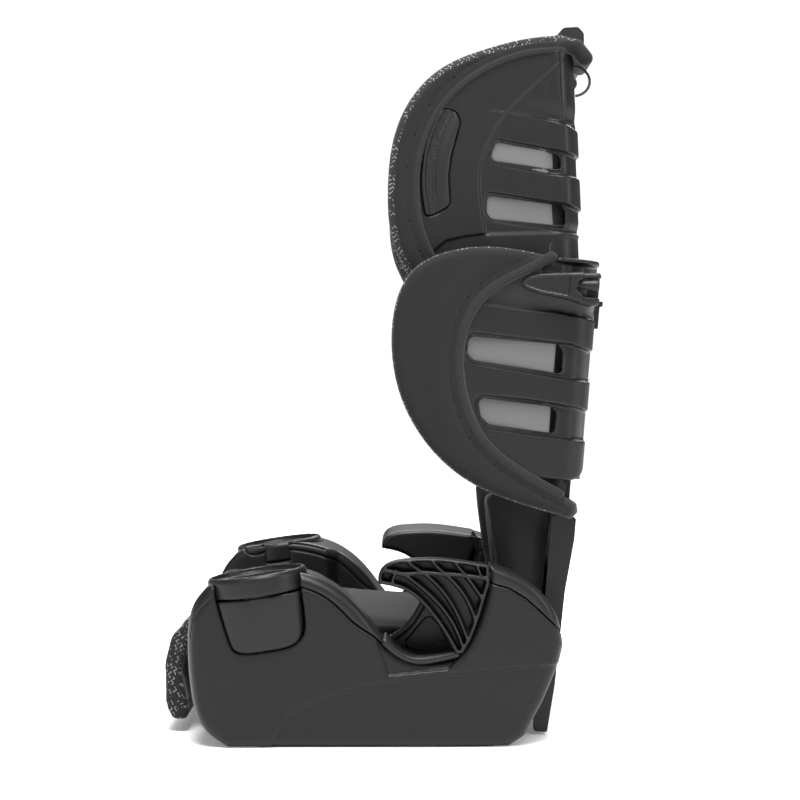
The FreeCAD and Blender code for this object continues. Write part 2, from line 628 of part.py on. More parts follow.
def rail_guides():
    """Two strips that hold the rail's edges in the channel."""
    strip = box(RAIL_HALF - 8, CHANNEL_HALF - 0.1, RAIL_FRONT + RAIL_T + 0.5, RAIL_FRONT + RAIL_T + 4.5,
                CHANNEL_LOW + 6, CHANNEL_TOP - 6)
    return Part.makeCompound([strip, mirrored(strip)])


def shoulder_guide():
    """Hook for the shoulder belt at the top of a wing, open to the rear, with a tongue in its mouth."""
    block = side_block([(141, 442.5, 5), (164, 443.5, 2), (165, 437.5, 2), (148, 436, 3), (148, 425, 3),
                        (165, 423.5, 2), (164, 417.5, 2), (141, 418.5, 5)], 152, 182)
    tongue = rod(V(167, 147, 430.5), V(167, 162, 430.5), 2.6)
    return block.fuse(tongue)


def guide_room():
    """Room for the shoulder belt hook in the torso wing."""
    return side_block([(140.5, 443.3, 5), (175, 444.3, 4), (175, 416.7, 4), (140.5, 417.7, 5)], 151.5, 230)


def cover_hook():
    """J-shaped hook on the spine that the cover's elastic goes round."""
    return side_block([(SPINE_REAR + 0.1, 424, 0), (187, 424, 1), (187, 419.5, 0), (184, 418, 0),
                       (184, 396, 1), (181, 396, 1), (180, 415, 1), (SPINE_REAR + 0.1, 415, 0)], -9, 9)


def spine_screws():
    x = CHANNEL_HALF + 6 + SPINE_FLANGE / 2
    return [rod(V(side_x, SPINE_SEAT, z), V(side_x, SPINE_SEAT + 2, z), 3.4)
            for side_x in (-x, x) for z in (262, 344, 426)]


# ---------------------------------------------------------------- headrest
def head_region(inset):
    run = shifted(HEAD_EDGE, inset)
    return across(smooth_wire(joined(run, [(40, 441), (132, 451), (150, 458), (190, 458), (190, run[0][1])])),
                  -230, 230)


def insert_outline(grow):
    corners = [(20, 605 + grow, 10), (36 + grow, 602 + grow, 8), (38 + grow, 592, 8), (27 + grow, 548, 60),
               (26.5 + grow, 519, 14), (12, 506 - grow, 10), (2 - grow, 503 - grow, 5),
               (-2 - grow, 538, 120), (8 - grow, 584, 30)]
    return side_block(corners, 100, 230)


def headrest_shell():
    shell = wing_band(HEAD_PLAN, 0, -WALL, 430, 680).common(head_region(ROLL))
    for corners in HEAD_SLOTS:
        slot = side_block(corners, 110, 230)
        shell = shell.cut(slot).cut(mirrored(slot))
    pocket = insert_outline(GAP)
    return shell.cut(pocket).cut(mirrored(pocket))


def headrest_insert():
    return wing_band(HEAD_PLAN, 0, -WALL, 430, 680).common(insert_outline(0))


def head_pad():
    """Foam lining of the headrest, in one piece round the back and both wings."""
    return wing_band(HEAD_PLAN, -WALL - GAP, -WALL - PAD_T - 3, 430, 680).common(head_region(ROLL + 1))


def headrest_cover():
    """Cover rolled over the whole front and top edge of the headrest."""
    whole = wing_band(HEAD_PLAN, COVER_OUT, -WALL - PAD_T - 4, 420, 690)
    whole = whole.common(across(smooth_wire(joined(HEAD_EDGE, [(40, 437), (60, 437), (210, 560),
                                                               (210, 668)])), -230, 230))
    inside = wing_band(HEAD_PLAN, 0.2, -WALL - PAD_T - 9, 410, 700)
    inside = inside.common(across(smooth_wire(joined(shifted(HEAD_EDGE, ROLL - 0.3),
                                                     [(0, 400), (300, 400), (300, 660)])), -230, 230))
    opening = across(smooth_wire(joined(HEAD_HEM, [(60, 400), (300, 400), (300, 649)])), -230, 230)
    middle = box(-HUMP_HALF - 1, HUMP_HALF + 1, 143.5, 200, 600, 700)
    cover = whole.cut(inside).cut(opening).cut(middle)
    return max(cover.Solids, key=lambda solid: solid.Volume)


def headrest_rail():
    """Bar that carries the headrest: a wide foot that slides in the channel, and a narrow neck that leans
    forward behind the headrest.  A groove behind takes the release strip."""
    foot = box(-RAIL_HALF, RAIL_HALF, RAIL_FRONT, RAIL_FRONT + RAIL_T, RAIL_LOW, RAIL_TOP)
    neck = nod_only(box(-NECK_HALF, NECK_HALF, NECK_FRONT, NECK_FRONT + NECK_T, NECK_LOW, NECK_TOP))
    rail = foot.fuse(neck)
    rear = RAIL_FRONT + RAIL_T + 1
    rail = rail.cut(box(-19, 19, RAIL_FRONT + 2, rear, BOLT_Z - 16, 470))
    rail = rail.cut(nod_only(box(-19, 19, STRIP_FRONT - 0.5, 165, 440, 607)))
    rail = rail.cut(nod_only(box(-10, 10, STRIP_FRONT - 0.5, 165, 600, NECK_TOP + 5)))
    return rail.cut(box(-BOLT_HALF - 0.5, BOLT_HALF + 0.5, RAIL_FRONT - 1, rear,
                        BOLT_Z - BOLT_H / 2 - 0.3, BOLT_Z + BOLT_H / 2 + 0.3))


def release_strip():
    """Flat strip in the rail's groove that joins the lever to the latch bolt."""
    low = box(-18, 18, RAIL_FRONT + 2.2, RAIL_FRONT + 4.4, BOLT_Z - 12, 453)
    low = low.cut(box(-BOLT_HALF - 0.6, BOLT_HALF + 0.6, 100, 200, BOLT_Z - 20, BOLT_Z + 16))
    return low.fuse(nod_only(box(-18, 18, STRIP_FRONT, STRIP_FRONT + STRIP_T, 445, 597.8)))


def latch_bolt():
    return box(-BOLT_HALF, BOLT_HALF, BOLT_TIP - 8.9, BOLT_TIP, BOLT_Z - BOLT_H / 2, BOLT_Z + BOLT_H / 2)


def head_line(z, inset):
    """Rear face of the headrest shell at a height of the backrest frame, moved rearwards by inset."""
    return HEAD_Y - (z - NOD_Z) * tan(radians(HEAD_NOD)) + inset


def housing_outline(inset):
    return [(head_line(655.5, 0.6) + inset, 655.5 + inset, 0), (146 - inset, 655.5 + inset, 3),
            (143 - inset, 690 - inset, 5), (137, 696 - inset, 5), (122 + inset, 694 - inset, 6),
            (115.5 + inset, 685 - inset * 0.5, 4), (117.5 + inset * 1.5, 679 + inset * 0.2, 1),
            (head_line(679, 0.6) + inset, 678, 1)]


def adjuster_housing():
    """Grip behind and above the headrest shell, hollow, with a mouth for the lever at the rear."""
    housing = side_block(housing_outline(0), -HUMP_HALF, HUMP_HALF)
    housing = housing.cut(side_block(housing_outline(3), -HUMP_HALF + 3, HUMP_HALF - 3))
    mouth = box(-27, 27, 138, 200, 659.5, 686)
    return housing.cut(mouth).cut(box(-11, 11, 129.8, 134.4, 650, 660))


def adjuster_lever():
    """Finger lever that is pulled up inside the grip."""
    paddle = side_block([(131, 668, 1), (140.5, 668, 2), (139, 679, 3), (131, 679, 2)], -25, 25)
    bracket = box(-9, 9, 131.2, 133.4, 660, 670)
    stem = nod_only(box(-9, 9, STRIP_FRONT, STRIP_FRONT + STRIP_T, 598, 663.5))
    return paddle.fuse([bracket, stem])


def lever_spring():
    """Return spring between the lever and the grip's roof, drawn as the sleeve of its coil."""
    return rod(V(0, 134.8, 679.1), V(0, 134.8, 684), 3.2).cut(rod(V(0, 134.8, 678), V(0, 134.8, 686), 2.2))


def cover_elastic():
    """Elastic loop of the headrest cover, hooked behind the shell."""
    arc = Part.Arc(V(104, HEAD_Y + 2, 647), V(109, HEAD_Y + 17, 632), V(114, HEAD_Y + 2, 617))
    start = arc.value(arc.FirstParameter)
    ring = Part.Wire(Part.makeCircle(1.3, start, arc.tangent(arc.FirstParameter)[0]))
    return Part.Wire(arc.toShape()).makePipeShell([ring], True, False)


def build():
    save("base_shell", base_shell())
    save("bottom_plate", bottom_plate())
    save_pair("side_panel", side_panel())
    save_pair("front_rail", front_rail())
    save_pair("armrest", armrest())
    save_pair("lap_belt_guide", lap_belt_guide())
    save("seat_cushion", seat_cushion())
    save("seat_flap", seat_flap())
    save("pivot_pins", pivot_pins())
    save("plate_screws", Part.makeCompound(plate_screws()))
    save_pair("cup_holder", cup_holder())

    save("torso_shell", leaned(torso_shell().cut(guide_room()).cut(mirrored(guide_room()))))
    save_pair("wing_pad", leaned(wing_pad()))
    save_pair("torso_cover", leaned(torso_cover()))
    save("torso_back_pad", leaned(torso_back_pad()))
    save("lower_back_shell", lower_back_shell())
    save("lower_back_pad", leaned(lower_back_pad()))
    save("back_spine", leaned(back_spine()))
    save("height_rack", leaned(height_rack()))
    save("rail_guides", leaned(rail_guides()))
    save_pair("shoulder_guide", leaned(shoulder_guide()))
    save("cover_hook", leaned(cover_hook()))
    save("spine_screws", leaned(Part.makeCompound(spine_screws())))

    save("headrest_shell", nodded(headrest_shell()))
    save_pair("headrest_insert", nodded(headrest_insert()))
    save("head_pad", nodded(head_pad()))
    save("headrest_cover", nodded(headrest_cover()))
    save("headrest_rail", leaned(headrest_rail()))
    save("adjuster_housing", leaned(adjuster_housing()))
    save("adjuster_lever", leaned(adjuster_lever()))
    save("release_strip", leaned(release_strip()))
    save("lever_spring", leaned(lever_spring()))
    save("latch_bolt", leaned(latch_bolt()))
    save_pair("cover_elastic", nodded(cover_elastic()))


build()
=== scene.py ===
"""The looks of a high-back booster seat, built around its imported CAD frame.

Lengths are in millimetres and become metres when a mesh is made.  Three frames are used, as in the CAD:
the seat's own, the backrest's (upright, before it is leaned back about the tilt hinge) and the headrest's
(upright, before it is nodded forward into the backrest's).  In the side outlines a point is (y, z).
Moulded and upholstered forms are drawn as signed distance fields, negative inside, and skinned.
"""
import json
import math
import bpy
import numpy as np
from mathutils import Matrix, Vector


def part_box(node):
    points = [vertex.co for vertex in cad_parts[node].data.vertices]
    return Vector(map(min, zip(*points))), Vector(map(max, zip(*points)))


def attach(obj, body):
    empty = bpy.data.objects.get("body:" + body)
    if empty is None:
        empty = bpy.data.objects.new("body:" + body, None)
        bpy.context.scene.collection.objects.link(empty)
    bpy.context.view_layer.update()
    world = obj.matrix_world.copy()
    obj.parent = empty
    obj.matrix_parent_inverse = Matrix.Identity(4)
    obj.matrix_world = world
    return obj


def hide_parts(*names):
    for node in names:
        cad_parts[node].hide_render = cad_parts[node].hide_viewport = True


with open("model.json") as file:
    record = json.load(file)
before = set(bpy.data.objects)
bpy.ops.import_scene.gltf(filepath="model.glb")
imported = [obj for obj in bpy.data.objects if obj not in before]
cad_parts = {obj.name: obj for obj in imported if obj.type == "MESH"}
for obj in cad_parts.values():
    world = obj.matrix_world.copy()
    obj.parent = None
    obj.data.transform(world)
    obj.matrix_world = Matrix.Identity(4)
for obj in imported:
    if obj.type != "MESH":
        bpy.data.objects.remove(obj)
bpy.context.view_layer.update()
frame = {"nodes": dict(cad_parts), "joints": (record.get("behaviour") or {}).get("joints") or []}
NODES = frame["nodes"]
JOINTS = {joint["name"]: joint for joint in frame["joints"]}

# ---- driving dimensions
MM = 0.001
CENTRE_SHIFT = 3.15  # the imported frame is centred, which moves the drawing this far along Y
HINGE_Y = JOINTS["backrest_tilt"]["pos_m"][1] / MM - CENTRE_SHIFT
HINGE_Z = JOINTS["backrest_tilt"]["pos_m"][2] / MM
BACK_LEAN = math.degrees(math.asin(JOINTS["headrest_height"]["axis"][1]))
HEAD_NOD = 7.0  # degrees, about the line along X through NOD_Y and NOD_Z
NOD_Y = 151.0
NOD_Z = 459.0

BACK_Y = 168.5  # rear face of the torso shell
CHANNEL_HALF = 56.5  # channel for the headrest rail
CHANNEL_FRONT = 150.5
WALL = 4.0  # moulded walls of the backrest and headrest
PANEL_WALL = 3.5  # moulded walls of the base
SEAM = 0.45  # half of the gap that shows between two mouldings
RELIEF_GROW = 3.5  # sunk outlines are this much wider on the inner face of the wall
SLOT_LIP = 1.3  # raised rim round a slot in its channel
TORSO_CHANNEL_DEPTH = (3.4, 7.4)  # at the front and at the rear
HEAD_CHANNEL_DEPTH = (2.8, 6.0)
TORSO_SPLIT = 100.0  # a shell is a middle and two wings, which part here
HEAD_SPLIT = 80.0
SPLIT_GAP = 0.2
HEAD_CORNER_OUT = 5.5  # the headrest's rear corners stand out behind its middle
ROLL = 8.0  # a shell ends this far inside its cover's rolled edge
COVER_MIDDLE = 7.0  # middle of the roll, from the shell's outer face inwards
COVER_HALF = 10.0  # half of the roll's thickness
COVER_EDGE = 9.0  # the roll's radius
CLOTH = 2.6  # thickness of a cover's cloth
COVER_IN = 126.0  # where a torso wing's cover and pad end beside the middle
PAD_IN = 128.0
PAD_INSET = 4.0  # a wing pad ends this far inside its cover's edge
PAD_DEPTH = 15.5  # its face on the child's side, from the shell's outer face
PAD_SAG = 0.8
POD_OUT = 200.0
POD_IN = 138.0
POD_IN_FRONT = 122.0
POD_STEP_Y = -74.0
ARM_FALL = 4.5  # the tops of the armrests and pods slope down to the child's side
POD_FALL = 2.6
LINING_STEP = 1.4  # the side panel stands this far in front of the seat well's wall
ARM_IN = 150.0
ARM_OUT = 204.0
ARM_CELL = 15.0  # depth of the cells in the armrest's outer side
FIN_RIM = 3.2  # wall round the cells
FIN_SHELF_HALF = 1.6  # half the thickness of the shelf and of a rib between the cells
FIN_RIB_HALF = 1.1
RAIL_HEIGHT = 12.0
RECESS = 2.5  # the lower field of the pod's side is sunk this deep
SADDLE_RECESS = 3.0  # and the field below the lap belt guide this deep
CUP_AXIS = Vector(JOINTS["cup_left_lift"]["axis"])
CUP_TOP = (168.0, -126.0, 159.0)
CUP_RIM_R = 47.0
CUP_DEPTH = 72.0
CUP_WALL = 3.0
CUP_TAPER = 0.16  # the barrel narrows by this part of the way down
GATE_X = 160.0  # the cup's opening in the pod's side starts here
HUMP_HALF = 42.0  # half the width of the adjuster's grip, which the cover leaves free
FLAP_HALF = 118.0  # half the width of the seat flap

# the left wings seen from above: corners (x, y, radius) of the outer line, from the back to the front
TORSO_PLAN = [(-60, BACK_Y, 0), (152, BACK_Y, 26), (172, 60, 130), (198, -34, 0), (218, -106, 0)]
HEAD_PLAN = [(-60, 151, 0), (120, 151, 26), (146, 50, 150), (166, -42, 0), (182, -116, 0)]
POD_PLAN = [(80, -196, 0), (POD_OUT, -196, 30), (POD_OUT, 60, 400), (192, 168, 22), (80, 168, 0)]

# backrest outlines
TORSO_EDGE = [(118, 457), (75, 461), (26, 454), (-7, 435), (-24, 362), (-4, 299), (48, 245), (145, 213.5)]
TORSO_HEM = [(120, 456), (93, 440), (57, 413), (40.5, 372), (46, 320), (68, 279), (104, 252.5), (145, 233)]
TORSO_TAIL = [(159, 209.5), (167.5, 216), (165, 224), (156, 229.5), (145, 233)]
RIB_A = [(44, 407), (86, 404.3), (127, 404), (165, 400.5), (200, 397)]
TORSO_SLOTS = [
    [(48, 375, 6), (134, 374.5, 5), (138.5, 369, 3), (139.5, 347, 3), (54, 353, 5), (47.5, 359, 6)],
    [(61, 318, 5), (131, 315, 5), (137.5, 310, 3), (136.5, 290, 3), (73, 294, 6), (65, 301, 8)]]
TORSO_CHANNELS = [
    [(44, 379.5, 9), (146, 376, 10), (168, 370.5, 4), (215, 366, 0), (215, 339, 0), (168, 340.5, 4),
     (143, 341.5, 10), (50, 349.5, 9), (43.5, 360, 9)],
    [(56, 321.5, 8), (110, 320.5, 20), (157, 316.5, 10), (168, 313, 4), (215, 309, 0), (215, 282, 0),
     (167, 284, 4), (112, 286.5, 20), (70, 289.5, 9), (60, 302, 14)]]
FLANGE_CAVITY = [(108, 440.5, 2), (122, 452.6, 2), (200, 450.5, 0), (200, 444, 0), (151, 441.2, 6),
                 (124, 440, 5)]
BELT_BOSS = [(91, 429.2, 2), (97.5, 435.5, 8), (112, 439.6, 30), (148, 443.2, 6), (168, 444.5, 3),
             (168, 414, 3), (160, 411.8, 4), (136, 417, 30), (112, 419.6, 20), (97, 423.8, 8)]
BELT_MOUTH = [(180, 440, 0), (152, 438.4, 6), (145, 434.3, 5), (144.3, 426, 5), (152, 420.8, 6),
              (180, 419, 0)]

# headrest outlines
HEAD_EDGE = [(151, 676), (112, 673), (66, 662), (20, 642), (-18, 596), (-32, 532), (-28, 476), (-14, 444)]
HEAD_HEM = [(151, 661), (109, 658.5), (67, 644), (26, 613), (2, 571), (-6, 528), (-3, 494), (7, 466),
            (19, 446)]
COVER_END = [(138, 668), (156, 664), (164, 653)]  # the cover's padded end behind the shell
HEAD_CREASE = [(142, 653), (116, 631.5), (84, 602), (63, 570), (54.5, 535), (55.5, 509), (58.5, 486)]
HEAD_RIB = [(82, 601.5), (108, 598), (134.5, 591.5), (151, 585), (190, 570)]
HEAD_FLANGE = [(8, 470), (20, 480), (35, 483.5), (58.5, 486), (90, 486)]
HEAD_SLOTS = [
    [(74, 573.5, 4), (132, 561, 4), (135.5, 556, 3), (135.5, 545.5, 3), (70, 555.5, 4), (68, 561, 4)],
    [(62.5, 522.5, 4), (134, 511.5, 4), (138, 506, 3), (137.5, 491.5, 3), (65, 500, 5), (61.5, 506, 5)]]
HEAD_CHANNELS = [
    [(72, 577.5, 5), (137, 564, 20), (151, 559, 4), (200, 548, 0), (200, 525, 0), (151, 537.5, 3),
     (121, 541.5, 20), (69, 552, 6), (64.5, 561, 6)],
    [(62, 526.5, 5), (138, 513, 20), (152, 507, 4), (200, 496, 0), (200, 470, 0), (152, 482, 3),
     (119, 488.5, 20), (64, 497.5, 6), (58.5, 508, 6)]]
INSERT = [(22, 607.5, 9), (36, 602, 8), (39.5, 592, 9), (29.5, 560, 50), (26, 540, 30), (26.7, 513, 8),
          (11, 505, 8), (2.5, 503, 4), (-1, 534, 110), (5, 573, 90)]
INSERT_FRONT = [(3, 500), (-0.5, 534), (5.5, 573), (22, 608), (30, 622)]
REAR_PANEL = [(70, 282, 16), (108, 430, 16), (40, 430, 16), (40, 282, 16)]  # (x, z), in the torso's back

# base outlines
POD_FRONT = [(-120, 166), (-160, 155), (-184, 131), (-191, 98), (-187.5, 54), (-176, 20), (-151, 0)]
POD_REAR = [(110, 0), (124, 9), (141, 40), (157, 77), (162.3, 93)]
REAR_ARCH = [(162.3, 93), (157, 115.5), (139, 144.5), (109, 164), (90, 170.2)]
POD_TOP = [(90, 150), (76, 106), (60, 85), (30, 80), (4, 90), (-22, 120), (-60, 153.5), (-92, 163.5),
           (-120, 166)]
RAIL_LINE = [(-150, 160), (-120, 166), (-92, 163.5), (-60, 153.5), (-22, 120), (-2, 95.5)]
SADDLE = [(-5, 97), (2, 91), (9, 86), (22, 80.9), (38, 81.5), (60.5, 86.5)]
SADDLE_SINK = [(-14, 99, 0), (-9, 86, 2), (-2.5, 66.5, 1), (54, 72.5, 1), (63.5, 84, 1), (60, 92, 0)]
ARCH_LINE = [(89, 153.3), (109, 148), (125, 138.5), (140, 125), (154.5, 111), (168, 92)]
RECESS_LINE = [(176, 78), (120, 73.5), (64.5, 69), (-6, 60.5), (-62.6, 46), (-88.6, 34), (-105, 17),
               (-113, -6)]
FRONT_SEAM = [(-158, 146), (-166, 138), (-175.5, 129), (-182, 118), (-186, 101)]
FIN_TIP = [(-11.3, 151.9), (-11.8, 157), (-8, 168), (8, 175)]
FIN_CROWN = [(8, 175), (40, 176.4), (66, 174), (91, 170)]
FIN_LINE = [(91, 170), (91.5, 153), (82, 121), (74, 100), (66.5, 87.5)]
FIN_BELOW = [(60.3, 87), (50.5, 104.5), (38, 122.5), (14, 145), (-11.3, 151.9)]
FIN_SHELF = [(-20, 168), (-6.8, 165), (12, 160.8), (30, 162.4), (66, 160.2), (100, 155.6)]
FIN_RIBS = [
    [(12, 161.4), (32, 145.7), (46.7, 131), (59, 112.8), (68.5, 88)],
    [(10, 180), (17, 171.5), (31, 161.5), (44, 150), (60, 127), (71, 100)],
    [(33, 180), (40, 171), (50, 161.5), (63, 148.5), (74, 130), (80, 112)],
    [(54, 180), (60, 171), (69, 160), (80, 145), (90, 130)],
    [(76, 178), (80, 168), (84, 158)],
    [(5, 164), (2, 156), (1, 145)]]
CHEEK_LIP = [(-5, 91), (12.2, 102.1), (22.4, 113.9), (33, 133)]
CHEEK_POCKET = [(10, 87, 5), (36, 118, 6), (46, 106, 12), (57, 84, 4), (32, 81.5, 20)]
FLAP = [(-188, 112, 8), (-196, 108, 8), (-212, 92, 16), (-219, 66, 30), (-218, 26, 10), (-211, 12, 5),
        (-197, 12, 4), (-196, 24, 4), (-203, 60, 20), (-196, 90, 10), (-189, 98, 4)]


# ---- frames
def turned(points, degrees, y, z):
    """Points turned about the line along X through (y, z)."""
    c = math.cos(math.radians(degrees))
    s = math.sin(math.radians(degrees))
    dy = points[:, 1] - y
    dz = points[:, 2] - z
    return np.stack([points[:, 0], y + dy * c - dz * s, z + dy * s + dz * c], 1)


def in_base(points):
    return points + (0, CENTRE_SHIFT, 0)


def in_backrest(points):
    return in_base(turned(points, -BACK_LEAN, HINGE_Y, HINGE_Z))


def in_headrest(points):
    return in_backrest(turned(points, HEAD_NOD, NOD_Y, NOD_Z))


PLACES = {"base": in_base, "cup": in_base, "backrest": in_backrest, "headrest": in_headrest}


# ---- outlines
LINE_STEP = 2.0  # between the points of a smooth curve
ARC_STEP = 1.5  # between the points of a rounded corner


def smooth(points):
    """Natural cubic curve through the points, as a dense line."""
    p = np.array(points, float)
    t = np.concatenate([[0], np.cumsum(np.hypot(*np.diff(p, axis=0).T))])
    h = np.diff(t)
    n = len(p)
    left = np.eye(n)
    right = np.zeros((n, 2))
    for i in range(1, n - 1):
        left[i, i - 1:i + 2] = h[i - 1], 2 * (h[i - 1] + h[i]), h[i]
        right[i] = 6 * ((p[i + 1] - p[i]) / h[i] - (p[i] - p[i - 1]) / h[i - 1])
    bend = np.linalg.solve(left, right)
    s = np.linspace(0, t[-1], max(2, int(t[-1] / LINE_STEP)) + 1)
    i = np.clip(np.searchsorted(t, s) - 1, 0, n - 2)
    a = (t[i + 1] - s)[:, None]
    b = (s - t[i])[:, None]
    w = h[i][:, None]
    return ((bend[i] * a ** 3 + bend[i + 1] * b ** 3) / (6 * w)
            + (p[i] / w - bend[i] * w / 6) * a + (p[i + 1] / w - bend[i + 1] * w / 6) * b)


def rounded(corners, closed=True):
    """Line through corners (a, b, radius), each turned by a tangent arc."""
    made = []
    for i, (a, b, radius) in enumerate(corners):
        here = np.array((a, b), float)
        if radius <= 0 or (not closed and i in (0, len(corners) - 1)):
            made.append(here[None])
            continue
        back = np.array(corners[i - 1][:2], float) - here
        on = np.array(corners[(i + 1) % len(corners)][:2], float) - here
        back /= np.hypot(*back)
        on /= np.hypot(*on)
        half = math.acos(np.clip(back @ on, -1, 1)) / 2
        reach = radius / math.tan(half)
        middle = here + (back + on) / np.hypot(*(back + on)) * radius / math.sin(half)
        start = here + back * reach - middle
        sweep = math.pi - 2 * half
        sign = 1 if back[0] * on[1] - back[1] * on[0] < 0 else -1
        turn = sign * np.linspace(0, sweep, max(2, int(radius * sweep / ARC_STEP)) + 1)
        made.append(middle + np.stack([start[0] * np.cos(turn) - start[1] * np.sin(turn),
                                       start[0] * np.sin(turn) + start[1] * np.cos(turn)], 1))
    return np.concatenate(made)


def joined(*lines):
    return np.concatenate([np.array(line, float) for line in lines])


def measure(line, a, b, closed):
    """Unsigned distance to a line, length along it and side: each of the points' shape."""
    line = np.asarray(line, float)
    shape = np.broadcast_shapes(np.shape(a), np.shape(b))
    a = np.broadcast_to(a, shape).astype(np.float32)
    b = np.broadcast_to(b, shape).astype(np.float32)
    ends = np.roll(line, -1, 0) if closed else line[1:]
    best = np.full(shape, 1e12, np.float32)
    along = np.zeros(shape, np.float32)
    side = np.zeros(shape, np.float32)
    inside = np.zeros(shape, bool)
    total = 0.0
    for (pa, pb), (qa, qb) in zip(line, ends):
        da = qa - pa
        db = qb - pb
        size = math.hypot(da, db)
        if size < 1e-6:
            continue
        ra = a - pa
        rb = b - pb
        t = np.clip((ra * da + rb * db) / size ** 2, 0, 1)
        far = (ra - t * da) ** 2 + (rb - t * db) ** 2
        near = far < best
        best = np.where(near, far, best)
        if closed:
            if pb != qb:
                inside ^= ((pb > b) != (qb > b)) & (ra < da * rb / db)
        else:
            along = np.where(near, total + t * size, along)
            side = np.where(near, da * rb - db * ra, side)
        total += size
    return np.sqrt(best), along, (inside if closed else side)


def region(line, a, b):
    """Signed distance to a closed outline, negative inside."""
    far, _, inside = measure(line, a, b, True)
    return np.where(inside, -far, far)


def within(corners, a, b):
    """Signed distance to an outline of corners (a, b, radius)."""
    return region(rounded(corners), a, b)


def beside(line, a, b):
    """Signed distance to an open line, positive on its left, and the length along it."""
    far, along, side = measure(line, a, b, False)
    return np.where(side > 0, far, -far), along


def distance_to(line, a, b):
    """Unsigned distance to an open line."""
    return measure(line, a, b, False)[0]


# ---- fields
def ramp(value, start, end):
    """0 before start, 1 after end, smooth between."""
    t = np.clip((value - start) / (end - start), 0, 1)
    return t * t * (3 - 2 * t)


def both(a, b, radius):
    """Where both fields are inside, with the edge rounded to the radius."""
    return (np.minimum(np.maximum(a, b) + radius, 0)
            + np.hypot(np.maximum(a + radius, 0), np.maximum(b + radius, 0)) - radius)


def either(a, b, radius):
    """Where either field is inside, with a fillet of the radius."""
    return -both(-a, -b, radius)


def slab(value, low, high):
    return np.abs(value - (low + high) / 2) - (high - low) / 2


def cut(body, room, *more):
    """The body less the room, which is where all of the room's fields are negative."""
    for field in more:
        room = np.maximum(room, field)
    return np.maximum(body, -room)


def skin(field, low, high, size):
    """Vertices and quads of the surface of a field, by surface nets."""
    axes = [np.arange(a - 2 * size, b + 3 * size, size, dtype=np.float32) for a, b in zip(low, high)]
    values = field(axes[0][:, None, None], axes[1][None, :, None], axes[2][None, None, :])
    values = np.array(np.broadcast_to(values, [len(a) for a in axes]), np.float32, order="C")
    for axis in range(3):
        ends = [slice(None)] * 3
        ends[axis] = [0, -1]
        values[tuple(ends)] = np.maximum(values[tuple(ends)], size / 2)
    stride = np.array([values.shape[1] * values.shape[2], values.shape[2], 1])
    cells, places, quads = [], [], []
    for axis in range(3):
        low_side = [slice(None)] * 3
        high_side = [slice(None)] * 3
        low_side[axis] = slice(0, -1)
        high_side[axis] = slice(1, None)
        f0 = values[tuple(low_side)]
        f1 = values[tuple(high_side)]
        at = np.array(np.nonzero((f0 < 0) != (f1 < 0)))
        a = f0[tuple(at)]
        b = f1[tuple(at)]
        place = at.astype(float)
        place[axis] += a / (a - b)
        own = stride @ at
        u = stride[(axis + 1) % 3]
        v = stride[(axis + 2) % 3]
        around = np.stack([own, own - u, own - u - v, own - v], 1)
        cells.append(around.T.ravel())
        places.append(np.tile(place, 4))
        quads.append(np.where((a < 0)[:, None], around, around[:, ::-1]))
    names, which = np.unique(np.concatenate(cells), return_inverse=True)
    place = np.concatenate(places, 1)
    count = np.bincount(which)
    points = np.stack([np.bincount(which, place[i]) / count for i in range(3)], 1)
    points = points * size + [a[0] for a in axes]
    return points, np.searchsorted(names, np.concatenate(quads))


def mirrored(points, faces):
    return points * (-1, 1, 1), faces[:, ::-1]


# ---- pieces
def add_object(name, data):
    made = bpy.data.objects.new(name, data)
    bpy.context.scene.collection.objects.link(made)
    return made


def mesh_object(name, points, faces):
    mesh = bpy.data.meshes.new(name)
    mesh.vertices.add(len(points))
    mesh.vertices.foreach_set("co", (points * MM).astype(np.float32).ravel())
    mesh.loops.add(faces.size)
    mesh.loops.foreach_set("vertex_index", faces.astype(np.int32).ravel())
    mesh.polygons.add(len(faces))
    mesh.polygons.foreach_set("loop_start", np.arange(0, faces.size, faces.shape[1], dtype=np.int32))
    mesh.polygons.foreach_set("use_smooth", np.ones(len(faces), bool))
    mesh.update(calc_edges=True)
    return add_object(name, mesh)


def add_weave(made, coordinates):
    """Cloth coordinates in metres, which the fabric materials read."""
    layer = made.data.attributes.new("weave", "FLOAT_VECTOR", "POINT")
    layer.data.foreach_set("vector", (np.stack(coordinates, 1) * MM).astype(np.float32).ravel())


def finish_piece(made, body, slot_name, replaced, material=None):
    made.data.materials.append(material or LOOKS[slot_name])
    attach(made, body)
    if replaced:
        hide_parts(*replaced)


def form(name, field, low, high, size, body, slot_name, replaced="", weave=None, fill=None,
         material=None, tails=("",)):
    """A skinned piece for each tail; weave gives its cloth coordinates; fill is not used."""
    points, faces = skin(field, low, high, size)
    coordinates = weave(points) if weave else None
    for tail in tails:
        p, f = mirrored(points, faces) if tail == "_right" else (points, faces)
        made = mesh_object(name + tail, PLACES[body](p), f)
        if weave:
            add_weave(made, coordinates)
        own_body = body + tail if body == "cup" else body
        finish_piece(made, own_body, slot_name, [replaced + tail] if replaced else (), material)


def form_pair(*settings, **more):
    """A left piece and its mirror image; body "cup" stands for the cup on each side."""
    form(*settings, tails=("_left", "_right"), **more)


def keep(node, material, edge):
    """A CAD node that is shown as it is, with broken edges and a finish."""
    node.data.materials.clear()
    node.data.materials.append(material)
    bevel = node.modifiers.new("edges", "BEVEL")
    bevel.width = edge * MM
    bevel.segments = 2
    bevel.limit_method = "ANGLE"
    bevel.angle_limit = math.radians(35)


